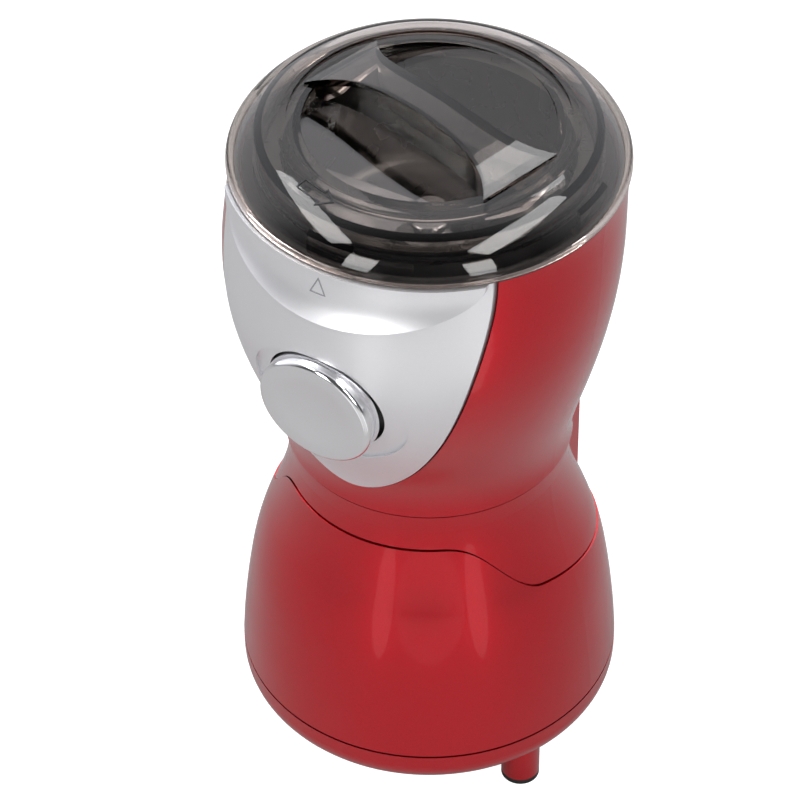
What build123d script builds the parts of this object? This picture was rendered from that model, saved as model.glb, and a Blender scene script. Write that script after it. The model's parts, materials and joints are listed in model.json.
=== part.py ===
from build123d import *
import math
import os

# Electric coffee grinder. Millimetres, +Z up, origin on the table under the motor axis, front along -Y.
# Angles called theta run from the front towards +X.

os.makedirs("parts", exist_ok=True)

# Shared
OVERRUN = 4.0                 # how far cutting shapes pass the faces they cut
FIT = 0.1                     # clearance round pegs, plugs and screws
PLAY = 0.3                    # clearance between curved covers
SHAFT_PLAY = 0.04             # running clearance of shafts and pins
HOLD = 0.02                   # clearance of a piece fixed on the shaft

# Lower body, turned: heights, radii and slopes of the outer skin
COVER_Z = 9.4
BASE_SEAM_Z = 20.5
BASE_R = 50.3
BASE_SLOPE = -0.05
BELLY_Z = 46.0
BELLY_SHARE = 0.8             # how far out the belly keeps, from the waist to the base
BELLY_SLOPE = -0.15
HIP_Z = 66.0
HIP_SHARE = 0.4148            # the same for the hip
HIP_SLOPE = -0.39
WAIST_Z = 90.0
WAIST_R = 36.8
WAIST_SLOPE = 0.0
WAIST_SEAM_Z = 96.0
WAIST_SEAM_R = 37.2
WAIST_SEAM_SLOPE = 0.1

# Upper body: heights, radii and forward lean of its round sections
THROAT_Z = 107.0
THROAT_R = 38.5
THROAT_LEAN = 0.7
FLARE_Z = 118.0
FLARE_R = 41.7
FLARE_LEAN = 1.8
BREAST_Z = 132.0
BREAST_R = 45.7
BREAST_LEAN = 3.1
CHEST_Z = 146.0
CHEST_R = 48.6
CHEST_LEAN = 3.6
SHOULDER_Z = 164.0
SHOULDER_R = 49.8
SHOULDER_LEAN = 2.4
RIM_Z = 182.8
RIM_R = 49.3

HOUSING_WALL = 3.0
SEAM_GAP = 0.6                # dark line between two red shells
LEDGE_WALL = 2.5
LEDGE_R = 41.4

# Rear spine across the waist
SPINE_R = 42.0
SPINE_HALF_WIDTH = 27.0
SPINE_LOW_Z = 63.0
SPINE_HIGH_Z = 122.0
SPINE_TAPER_H = 12.0
SPINE_TAPER = 4.0

# Neck shell and base skirt
NECK_STEP = 0.3
NECK_WALL = 4.0
NECK_LOW_Z = 47.0
FLANGE_WALL = 3.0
FLANGE_R = 28.8
SKIRT_WALL = 2.4
SKIRT_LEDGE = 2.4
WAVE_GAP = 0.5
WAVE_FRONT_Z = 83.8
WAVE_START_Y = -30.0
WAVE_END_Y = -11.0
WAVE_END_Z = 65.4
WAVE_FRONT_HANDLE = 8.0
WAVE_REAR_HANDLE = 9.5
WAVE_REAR_SLOPE = -0.2

# Seam screws between neck and upper housing
SEAM_SCREW_CIRCLE = 31.4
SEAM_BOSS_R = 3.4
SEAM_BOSS_H = 14.0
SCREW_R = 1.5
SCREW_HEAD_R = 2.8
SCREW_HEAD_H = 1.8
SEAM_SCREW_L = 12.0
SEAM_SCREW_ANGLES = (0, 120, 240)

# Bottom cover, legs and feet
COVER_WALL = 2.4
COVER_CORNER_R = 7.4
COVER_LIP_H = 4.0
COVER_LIP_WALL = 1.8
LEG_INSET = 6.7
LEG_R = 5.1
LEG_BORE_R = 3.2
LEG_ANGLES = (65, 180, 295)
FOOT_PAD_H = 1.8
FOOT_EDGE_R = 0.5
FOOT_PLUG_H = 4.5
LEG_SEAT = 3.2
COVER_SCREW_L = 18.0
COVER_BOSS_R = 4.6
COVER_BOSS_TOP_Z = 31.0
VENT_COUNT = 12
VENT_INNER_R = 16.0
VENT_INSET = 18.3
VENT_WIDTH = 3.0

# Cord inlet, clamp and capacitor
INLET_Z = 38.0
INLET_BORE_R = 3.2
GROMMET_NECK_R = 4.3
GROMMET_FLANGE_R = 5.6
GROMMET_FLANGE_H = 1.4
CLAMP_INSET = 17.3
CLAMP_SPAN = 9.0
CLAMP_POST_R = 3.0
CLAMP_POST_H = 6.0
CLAMP_DEPTH = 7.0
CLAMP_BAR_H = 2.4
CLAMP_SCREW_L = 6.0
CAPACITOR_INSET = 19.3
CAPACITOR_LENGTH = 18.0
CAPACITOR_WIDTH = 8.5
CAPACITOR_HEIGHT = 13.0
CAPACITOR_FENCE = 1.6
CAPACITOR_FENCE_H = 4.0

# Front panel
PANEL_DEPTH = 1.6             # depth of the pocket in the housing
PANEL_PROUD = 0.4
PANEL_GAP = 0.6               # dark line round the panel
PANEL_SEAT = 0.1
PANEL_HALF_WIDTH = 37.3
PANEL_STRAIGHT_Z = 176.0
PANEL_TIP_Z = 104.4
PANEL_SIDE_HANDLE = 34.0
PANEL_TIP_HANDLE = 18.0
BAND_HALF_WIDTH = 36.6
BAND_DROP = 14.2
BAND_PROUD = 1.5
EYE_HALF_WIDTH = 21.6
EYE_HALF_HEIGHT = 18.4
EYE_Z = 139.0
EYE_DEPTH = 0.7
PEG_R = 2.0
PEG_REACH = 5.0
PEG_X = 26.0
PEG_Z = 162.0
PEG_LOW_Z = 112.0

# Power button and its switch, along the tilted button axis
BUTTON_Z = 141.0
BUTTON_TILT = 5.0
BUTTON_R = 15.7
BUTTON_GAP = 0.5
BUTTON_PROUD = 3.4
BUTTON_THICK = 5.2
BUTTON_EDGE_R = 1.4
BUTTON_DISH_R = 11.0
BUTTON_DISH = 0.6
BUTTON_TRAVEL = 3.0
WELL_WALL = 1.8
WELL_DEPTH = 8.2
STEM_R = 4.0
STEM_LENGTH = 17.6
CLIP_R = 6.8
CLIP_WALL = 1.2
CLIP_GROOVE = 0.6
CLIP_ARC = 290
SPRING_R = 9.0
SPRING_WIRE_R = 0.35
SPRING_TURNS = 3.5
PLUNGER_R = 1.3
PLUNGER_OUT = 3.6
PLUNGER_IN = 4.2
SWITCH_LENGTH = 20.0
SWITCH_DEPTH = 10.0
SWITCH_HEIGHT = 6.4
SWITCH_PIN_R = 1.2
SWITCH_PIN_SPAN = 10.0
SWITCH_PIN_H = 5.0
BRACKET_WALL = 3.0
BRACKET_FOOT = 6.0
BRACKET_FOOT_H = 2.0
BRACKET_SCREW_L = 4.5

# Bowl collar, bowl and lid
COLLAR_R = 44.8
COLLAR_LOW_Z = 170.0
COLLAR_FLANGE_H = 2.0
COLLAR_BORE_R = 40.2
SPIGOT_R = 42.6
SPIGOT_H = 1.6
BAYONET_R = 44.2
BAYONET_H = 1.6
BAYONET_COUNT = 4
TAB_ARC = 16
BAYONET_START = 9.5
BAYONET_ARC = 16.5
BOWL_R = 36.5
BOWL_WALL = 0.7
BOWL_DEPTH = 35.2
BOWL_CORNER_R = 9.0
BOWL_FLANGE_H = 0.7
BOWL_HOLE_R = 6.0
SEAL_H = 1.0
SEAL_R = 42.0
SEAL_BORE_R = 39.4
LID_OVERHANG = 0.4
LID_WALL = 2.0
LID_GAP = 0.4
LID_STRAIGHT = 0.5
LID_HEIGHT = 11.9
LID_CREST_R = 36.5
LID_BEND_SHARE = 0.37         # fullness of the shoulder's curve
LID_LIP_R = 34.85
LID_FLOOR_R = 31.1
LID_STEP = 0.7
LID_TROUGH = 6.3
LID_RIB = 1.8
LID_REST_ANGLE = -15
TAB_BORE_R = 43.1
HOOK_BORE_R = 44.6
TAB_H = 2.0
TAB_PLAY = 0.4
GRIP_HALF_WIDTH = 4.9
GRIP_END_HALF_WIDTH = 12.4
GRIP_REACH = 31.2
GRIP_RISE = 5.1
GRIP_WALL = 2.0
GRIP_MIDDLE_SHARE = 0.5       # how much of the reach the narrow middle keeps its width
GRIP_FLARE_SHARE = 0.78

# Lid interlock
PIN_CIRCLE = 43.9
PIN_R = 1.1
PIN_THETA = -72
PIN_BOSS_R = 2.2
PIN_LIFT = 0.5
PIN_TRAVEL = 1.6
PIN_FOOT_DROP = 5.0
INTERLOCK_LENGTH = 12.8
INTERLOCK_DEPTH = 6.0
INTERLOCK_HEIGHT = 9.0
INTERLOCK_CIRCLE = 43.2
INTERLOCK_SHELF = 2.0
INTERLOCK_SHELF_ARC = 18

# Shaft, blade and bowl seal
SHAFT_R = 3.0
SEAL_COLLAR_R = 9.0
SEAL_COLLAR_H = 1.2
SEAL_SKIRT_H = 4.0
HUB_R = 7.0
HUB_H = 5.0
HUB_GAP = 0.6
BLADE_SPAN = 31.0
BLADE_FLAT = 9.0
BLADE_WIDTH = 12.0
BLADE_TIP_WIDTH = 7.0
BLADE_THICK = 1.6
BLADE_RISE = 4.0
NUT_R = 5.6
NUT_H = 4.2
NUT_DOME_H = 2.4
SHAFT_OVER_BLADE = 4.0

# Motor, hung from the deck of the upper housing
DECK_WALL = 3.0
DECK_DROP = 25.0              # from the bowl floor down to the deck
DECK_HOLE_R = 11.0
DAMPER_H = 3.0
DAMPER_R = 25.0
DAMPER_BORE_R = 14.0
BRACKET_PLATE = 3.0
MOTOR_R = 27.0
MOTOR_SCREW_CIRCLE = 19.5
MOTOR_SCREW_ANGLES = (0, 120, 240)
BEARING_R = 5.5
BEARING_H = 9.0
BEARING_BOSS_R = 8.5
LEG_DEPTH = 5.0
LEG_WIDTH = 10.0
UPPER_LEG_H = 16.0
STATOR_H = 30.0
LOWER_LEG_H = 29.0
BOLT_CIRCLE = 24.4
BORE_R = 15.0
AIR_GAP = 0.7
COIL_INNER_HALF = 12.5
COIL_WALL = 6.0
COIL_Y = 16.5
COIL_DEPTH = 5.4
COIL_OVERHANG = 7.0
SLOT_COUNT = 12
SLOT_WIDTH = 2.6
SLOT_DEPTH = 5.4
WIRE_GAP = 0.2
END_TURN_H = 5.5
END_TURN_BORE_R = 5.0
COMMUTATOR_R = 9.0
COMMUTATOR_H = 13.0
COMMUTATOR_DROP = 8.0         # from the armature core down to the commutator
COMMUTATOR_SLIT = 0.5
COMMUTATOR_SLIT_DEPTH = 1.0
BRUSH_WIDTH = 6.0
BRUSH_HEIGHT = 8.0
BRUSH_LENGTH = 10.0
BRUSH_GAP = 0.15
BRUSH_BOX_WALL = 1.2
BRUSH_BOX_START = 12.0
BRUSH_BOX_LENGTH = 13.0
BRUSH_SPRING_R = 2.0
FAN_R = 22.0
FAN_HUB_R = 6.5
FAN_H = 8.0
FAN_BLADES = 9
FAN_BLADE_WALL = 1.4
FAN_PLATE = 1.4
FAN_DROP = 2.0
SHAFT_TAIL = 1.5

# Worked-out radii and places
BELLY_R = WAIST_R + (BASE_R - WAIST_R) * BELLY_SHARE
HIP_R = WAIST_R + (BASE_R - WAIST_R) * HIP_SHARE
LEG_CIRCLE = BASE_R - LEG_INSET
VENT_OUTER_R = BASE_R - VENT_INSET
CLAMP_Y = BASE_R - CLAMP_INSET
CAPACITOR_X = CAPACITOR_INSET - BASE_R
LID_R = RIM_R + LID_OVERHANG
RIM_BORE_R = RIM_R - HOUSING_WALL - PLAY * 2

# Worked-out heights
COLLAR_TOP_Z = RIM_Z + SPIGOT_H
BOWL_RIM_Z = COLLAR_TOP_Z + BOWL_FLANGE_H
BOWL_FLOOR_Z = BOWL_RIM_Z - BOWL_DEPTH
LID_LOW_Z = RIM_Z + LID_GAP
LID_CREST_Z = RIM_Z + LID_HEIGHT
LID_STEP_Z = LID_CREST_Z - LID_STEP
SEAL_TOP_Z = BOWL_RIM_Z + SEAL_H
TAB_TOP_Z = COLLAR_TOP_Z - BAYONET_H - TAB_PLAY
TAB_LOW_Z = TAB_TOP_Z - TAB_H
COLLAR_SEAT_Z = TAB_LOW_Z - PLAY
DECK_TOP_Z = BOWL_FLOOR_Z - DECK_DROP
DECK_LOW_Z = DECK_TOP_Z - DECK_WALL
PLATE_TOP_Z = DECK_LOW_Z - DAMPER_H
PLATE_LOW_Z = PLATE_TOP_Z - BRACKET_PLATE
STATOR_TOP_Z = PLATE_LOW_Z - UPPER_LEG_H
STATOR_LOW_Z = STATOR_TOP_Z - STATOR_H
LOWER_PLATE_TOP_Z = STATOR_LOW_Z - LOWER_LEG_H
LOWER_PLATE_LOW_Z = LOWER_PLATE_TOP_Z - BRACKET_PLATE
COMMUTATOR_TOP_Z = STATOR_LOW_Z - COMMUTATOR_DROP
COMMUTATOR_LOW_Z = COMMUTATOR_TOP_Z - COMMUTATOR_H
BRUSH_Z = (COMMUTATOR_TOP_Z + COMMUTATOR_LOW_Z) / 2
LOWER_BEARING_LOW_Z = LOWER_PLATE_TOP_Z - BEARING_H
FAN_TOP_Z = LOWER_BEARING_LOW_Z - FAN_DROP
SHAFT_LOW_Z = FAN_TOP_Z - FAN_H - SHAFT_TAIL
BOWL_INSIDE_Z = BOWL_FLOOR_Z + BOWL_WALL
HUB_LOW_Z = BOWL_INSIDE_Z + SEAL_COLLAR_H + HUB_GAP
BLADE_LOW_Z = HUB_LOW_Z + HUB_H
SHAFT_TOP_Z = BLADE_LOW_Z + BLADE_THICK + SHAFT_OVER_BLADE
COVER_FLOOR_Z = COVER_Z + COVER_WALL
REACH = BASE_R + LID_R        # longer than any half width, for cutting shapes

LOWER_STATIONS = (
    (BASE_SEAM_Z, BASE_R, BASE_SLOPE),
    (BELLY_Z, BELLY_R, BELLY_SLOPE),
    (HIP_Z, HIP_R, HIP_SLOPE),
    (WAIST_Z, WAIST_R, WAIST_SLOPE),
    (WAIST_SEAM_Z, WAIST_SEAM_R, WAIST_SEAM_SLOPE),
)
UPPER_STATIONS = (
    (WAIST_SEAM_Z, WAIST_SEAM_R, 0),
    (THROAT_Z, THROAT_R, THROAT_LEAN),
    (FLARE_Z, FLARE_R, FLARE_LEAN),
    (BREAST_Z, BREAST_R, BREAST_LEAN),
    (CHEST_Z, CHEST_R, CHEST_LEAN),
    (SHOULDER_Z, SHOULDER_R, SHOULDER_LEAN),
    (RIM_Z, RIM_R, 0),
)
UP = (Align.CENTER, Align.CENTER, Align.MIN)
DOWN = (Align.CENTER, Align.CENTER, Align.MAX)


def rod(radius, low, high):
    """Upright cylinder on the main axis."""
    return Pos(0, 0, low) * Cylinder(radius, high - low, align=UP)


def ring(outer, inner, low, high):
    """Upright ring on the main axis."""
    return rod(outer, low, high) - rod(inner, low - OVERRUN, high + OVERRUN)


def block(x_low, x_high, y_low, y_high, low, high):
    """Box between two corners."""
    middle = Pos((x_low + x_high) / 2, (y_low + y_high) / 2, (low + high) / 2)
    return middle * Box(x_high - x_low, y_high - y_low, high - low)


def turned(edges):
    """Solid of revolution from edges drawn in the XZ plane."""
    return revolve(make_face(edges), Axis.Z)


def turned_outline(points):
    """Solid of revolution from a closed row of (radius, height) points."""
    return turned(Polyline(*[(r, 0, z) for r, z in points], close=True))


def at(radius, theta, height=0):
    """Place a shape at an angle from the front."""
    return Rot(0, 0, theta) * Pos(0, -radius, height)


def sector(outer, inner, low, high, theta, arc):
    """Part of a ring, centred on an angle from the front."""
    outline = Polyline((outer, 0, low), (outer, 0, high), (inner, 0, high), (inner, 0, low), close=True)
    return Rot(0, 0, theta - arc / 2 - 90) * revolve(make_face(outline), Axis.Z, revolution_arc=arc)


def group(pieces):
    """Several solids kept as one node."""
    return Compound(children=[piece.solid() for piece in pieces])


def screw(length, down=True):
    """Pan head screw with its head seat at the origin and its shank along -Z."""
    shank = Cylinder(SCREW_R, length, align=DOWN)
    head = Cylinder(SCREW_HEAD_R, SCREW_HEAD_H, align=UP)
    drive = Pos(0, 0, SCREW_HEAD_H) * Box(SCREW_HEAD_R, SCREW_R / 3, SCREW_HEAD_H, align=(Align.CENTER,) * 3)
    whole = shank + head - drive - Rot(0, 0, 90) * drive
    return whole if down else Rot(180, 0, 0) * whole


def lower_radius(z):
    """Radius of the outer skin of the lower body."""
    for (z0, r0, m0), (z1, r1, m1) in zip(LOWER_STATIONS, LOWER_STATIONS[1:]):
        if z <= z1:
            break
    span = z1 - z0
    t = (z - z0) / span
    keep = r0 * (1 + 2 * t) * (1 - t) ** 2 + r1 * t * t * (3 - 2 * t)
    return keep + span * t * (1 - t) * (m0 * (1 - t) - m1 * t)


def lower_slope(z):
    """Slope of the outer skin of the lower body."""
    for (z0, r0, m0), (z1, r1, m1) in zip(LOWER_STATIONS, LOWER_STATIONS[1:]):
        if z <= z1:
            break
    span = z1 - z0
    t = (z - z0) / span
    pull = (r1 - r0) / span
    return 6 * pull * t * (1 - t) + m0 * (1 - t) * (1 - 3 * t) + m1 * t * (3 * t - 2)


def skin_edges(low, high, inset):
    """Edges of the lower body's skin between two heights, moved inwards."""
    inner = [z for z, _, _ in LOWER_STATIONS if low < z < high]
    heights = [low] + inner + [high]
    edges = []
    for z0, z1 in zip(heights, heights[1:]):
        third = (z1 - z0) / 3
        r0 = lower_radius(z0) - inset
        r1 = lower_radius(z1) - inset
        first = (r0 + lower_slope(z0) * third, 0, z0 + third)
        second = (r1 - lower_slope(z1) * third, 0, z1 - third)
        edges.append(Bezier((r0, 0, z0), first, second, (r1, 0, z1)))
    return edges


def lower_shell(low, high, outer_inset, inner_inset):
    """Turned shell between two insets of the lower body's skin."""
    outer = skin_edges(low, high, outer_inset)
    inner = skin_edges(low, high, inner_inset)
    foot = Line(inner[0] @ 0, outer[0] @ 0)
    head = Line(inner[-1] @ 1, outer[-1] @ 1)
    return turned(outer + inner + [foot, head])


def lower_core(low, high, inset):
    """Solid lower body between two heights, its skin moved inwards."""
    skin = skin_edges(low, high, inset)
    rest = Polyline(skin[-1] @ 1, (0, 0, high), (0, 0, low), skin[0] @ 0)
    return turned(skin + [rest])


def upper_skin(offset):
    """Solid upper body with its skin moved outwards."""
    return loft([Pos(0, -lean, z) * Circle(r + offset) for z, r, lean in UPPER_STATIONS])


def front_reach(z):
    """How far the upper body's skin stands in front of the axis."""
    pairs = zip(UPPER_STATIONS, UPPER_STATIONS[1:])
    for (z0, r0, s0), (z1, r1, s1) in pairs:
        if z <= z1:
            break
    t = (z - z0) / (z1 - z0)
    return r0 + s0 + (r1 + s1 - r0 - s0) * t


BUTTON_FACE_Y = front_reach(BUTTON_Z) + PANEL_PROUD
TILT = math.radians(BUTTON_TILT)
BUTTON_PLANE = Plane(
    origin=(0, -BUTTON_FACE_Y, BUTTON_Z), x_dir=(1, 0, 0), z_dir=(0, -math.cos(TILT), -math.sin(TILT))
)


def button_rod(radius, low, high):
    """Cylinder along the button axis, measured outwards from the panel face."""
    return BUTTON_PLANE * (Pos(0, 0, low) * Cylinder(radius, high - low, align=UP))


def wave_below(lift):
    """Everything under the wavy seam, raised by a lift."""
    front = WAVE_FRONT_Z + lift
    end = WAVE_END_Z + lift
    far = end + WAVE_REAR_SLOPE * (REACH - WAVE_END_Y)
    flat = Line((0, -REACH, front), (0, WAVE_START_Y, front))
    fall = Bezier(
        (0, WAVE_START_Y, front),
        (0, WAVE_START_Y + WAVE_FRONT_HANDLE, front),
        (0, WAVE_END_Y - WAVE_REAR_HANDLE, end - WAVE_REAR_SLOPE * WAVE_REAR_HANDLE),
        (0, WAVE_END_Y, end),
    )
    slope = Line((0, WAVE_END_Y, end), (0, REACH, far))
    rest = Polyline((0, REACH, far), (0, REACH, 0), (0, -REACH, 0), (0, -REACH, front))
    return extrude(make_face([flat, fall, slope, rest]), amount=REACH, dir=(1, 0, 0), both=True)


def spine(low, high, radius):
    """Rear rib that fills the waist."""
    slab = block(-SPINE_HALF_WIDTH, SPINE_HALF_WIDTH, 0, REACH, low, high)
    taper_z = SPINE_HIGH_Z - SPINE_TAPER_H
    cap = turned_outline(
        [(0, 0), (radius, 0), (radius, taper_z), (radius - SPINE_TAPER, SPINE_HIGH_Z), (0, SPINE_HIGH_Z)]
    )
    return cap & slab


def panel_prism(grow):
    """Shield outline of the front panel, swept forwards."""
    half = PANEL_HALF_WIDTH + grow
    tip = PANEL_TIP_Z - grow
    top = RIM_Z + OVERRUN
    edges = [Line((-half, 0, top), (half, 0, top))]
    for side in (-1, 1):
        edges.append(Line((side * half, 0, top), (side * half, 0, PANEL_STRAIGHT_Z)))
        edges.append(
            Bezier(
                (side * half, 0, PANEL_STRAIGHT_Z),
                (side * half, 0, PANEL_STRAIGHT_Z - PANEL_SIDE_HANDLE),
                (side * PANEL_TIP_HANDLE, 0, tip),
                (0, 0, tip),
            )
        )
    return extrude(make_face(edges), amount=REACH, dir=(0, -1, 0))


def front_ellipse(half_width, half_height, z):
    """Ellipse seen from the front, swept forwards."""
    plane = Plane(origin=(0, 0, z), x_dir=(1, 0, 0), z_dir=(0, -1, 0))
    return extrude(plane * Ellipse(half_width, half_height), amount=REACH)


def pegs(radius):
    """The panel's pegs, with a given radius."""
    found = []
    for x, z in ((-PEG_X, PEG_Z), (PEG_X, PEG_Z), (0, PEG_LOW_Z)):
        plane = Plane(origin=(x, 0, z), x_dir=(1, 0, 0), z_dir=(0, -1, 0))
        found.append(extrude(plane * Circle(radius), amount=REACH))
    return found


def upper_housing():
    inside = upper_skin(-HOUSING_WALL)
    body = upper_skin(0) - inside
    body += spine(WAIST_SEAM_Z, SPINE_HIGH_Z, SPINE_R) - inside
    outside = upper_skin(-HOUSING_WALL / 2)
    body += outside & ring(REACH, DECK_HOLE_R, DECK_LOW_Z, DECK_TOP_Z)
    body += outside & ring(REACH, LEDGE_R, COLLAR_LOW_Z - LEDGE_WALL, COLLAR_LOW_Z)
    for theta in SEAM_SCREW_ANGLES:
        boss = Cylinder(SEAM_BOSS_R, SEAM_BOSS_H, align=UP)
        boss -= Cylinder(SCREW_R + FIT, SEAM_BOSS_H - SCREW_HEAD_H, align=UP)
        body += at(SEAM_SCREW_CIRCLE, theta, WAIST_SEAM_Z) * boss
    shelf_top = COLLAR_LOW_Z - LEDGE_WALL - PIN_FOOT_DROP - INTERLOCK_HEIGHT
    shelf_bore = INTERLOCK_CIRCLE - INTERLOCK_DEPTH / 2
    shelf_low = shelf_top - INTERLOCK_SHELF
    body += outside & sector(REACH, shelf_bore, shelf_low, shelf_top, PIN_THETA, INTERLOCK_SHELF_ARC)
    well_r = BUTTON_R + BUTTON_GAP
    body += button_rod(well_r + WELL_WALL, -WELL_DEPTH - WELL_WALL, 0) & upper_skin(-PANEL_DEPTH)
    body -= (upper_skin(OVERRUN) - upper_skin(-PANEL_DEPTH)) & panel_prism(PANEL_GAP)
    body -= button_rod(well_r, -WELL_DEPTH, OVERRUN)
    body -= button_rod(STEM_R + SHAFT_PLAY, -WELL_DEPTH - WELL_WALL - OVERRUN, 0)
    for peg in pegs(PEG_R + FIT):
        body -= peg
    body -= at(PIN_CIRCLE, PIN_THETA, COLLAR_LOW_Z) * Cylinder(PIN_R + PLAY, LEDGE_WALL + OVERRUN, align=DOWN)
    for theta in MOTOR_SCREW_ANGLES:
        hole = Cylinder(SCREW_R + FIT, DECK_WALL + OVERRUN, align=UP)
        body -= at(MOTOR_SCREW_CIRCLE, theta, DECK_LOW_Z) * hole
    for side in (-1, 1):
        body -= bracket_screw_place(side, 0) * Cylinder(SCREW_R + FIT, DECK_WALL + OVERRUN, align=DOWN)
    return body


def front_panel():
    seat = upper_skin(PANEL_SEAT - PANEL_DEPTH)
    face = (upper_skin(PANEL_PROUD) - seat) & panel_prism(0)
    eye = front_ellipse(EYE_HALF_WIDTH, EYE_HALF_HEIGHT, EYE_Z)
    face -= eye - upper_skin(PANEL_PROUD - EYE_DEPTH)
    band = (upper_skin(BAND_PROUD) - seat) & panel_prism(0)
    face += band & front_ellipse(BAND_HALF_WIDTH, BAND_DROP, RIM_Z)
    face -= button_rod(BUTTON_R + BUTTON_GAP, -WELL_DEPTH, BUTTON_PROUD + OVERRUN)
    core = upper_skin(-HOUSING_WALL - PEG_REACH)
    for peg in pegs(PEG_R):
        face += (peg & upper_skin(0)) - core
    return face


def neck_shell():
    top = WAIST_SEAM_Z - SEAM_GAP
    inner_inset = NECK_STEP + NECK_WALL
    body = lower_shell(NECK_LOW_Z, top, NECK_STEP, inner_inset)
    body += spine(SPINE_LOW_Z, top, SPINE_R - NECK_STEP) - lower_core(NECK_LOW_Z, WAIST_SEAM_Z, inner_inset)
    flange = ring(lower_radius(top) - inner_inset + NECK_STEP, FLANGE_R, top - FLANGE_WALL, top)
    body += flange
    body += ring(SEAM_SCREW_CIRCLE + SEAM_BOSS_R, FLANGE_R, top, WAIST_SEAM_Z) & ring(
        lower_radius(top) - inner_inset + NECK_STEP, 0, top - FLANGE_WALL, WAIST_SEAM_Z
    )
    for theta in SEAM_SCREW_ANGLES:
        body -= at(SEAM_SCREW_CIRCLE, theta, WAIST_SEAM_Z + OVERRUN) * Cylinder(
            SCREW_R + FIT, FLANGE_WALL + SEAM_GAP + OVERRUN * 2, align=DOWN
        )
        body -= at(SEAM_SCREW_CIRCLE, theta, top - FLANGE_WALL) * Cylinder(
            SCREW_HEAD_R + PLAY, SEAM_BOSS_H, align=DOWN
        )
    cut = lower_shell(BASE_SEAM_Z, top, -OVERRUN * 2, SKIRT_WALL + PLAY) & wave_below(WAVE_GAP)
    return body - cut


def base_skirt():
    low = BASE_SEAM_Z + SEAM_GAP
    body = lower_shell(low, WAIST_Z, 0, SKIRT_WALL) & wave_below(0)
    ledge = lower_shell(NECK_LOW_Z - SKIRT_LEDGE, NECK_LOW_Z, SKIRT_WALL / 2, SKIRT_WALL + SKIRT_LEDGE * 2)
    body += ledge
    inside = lower_core(BASE_SEAM_Z, COVER_BOSS_TOP_Z, SKIRT_WALL / 2)
    for theta in LEG_ANGLES:
        boss_low = BASE_SEAM_Z + COVER_LIP_H + SEAM_GAP
        boss = Cylinder(COVER_BOSS_R, COVER_BOSS_TOP_Z - boss_low, align=UP)
        body += (at(LEG_CIRCLE, theta, boss_low) * boss) & inside
        body -= at(LEG_CIRCLE, theta, boss_low - OVERRUN) * Cylinder(SCREW_R + FIT, COVER_SCREW_L, align=UP)
    inlet = Plane(origin=(0, 0, INLET_Z), x_dir=(1, 0, 0), z_dir=(0, 1, 0))
    body -= extrude(inlet * Circle(GROMMET_NECK_R + FIT), amount=REACH)
    return body


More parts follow.
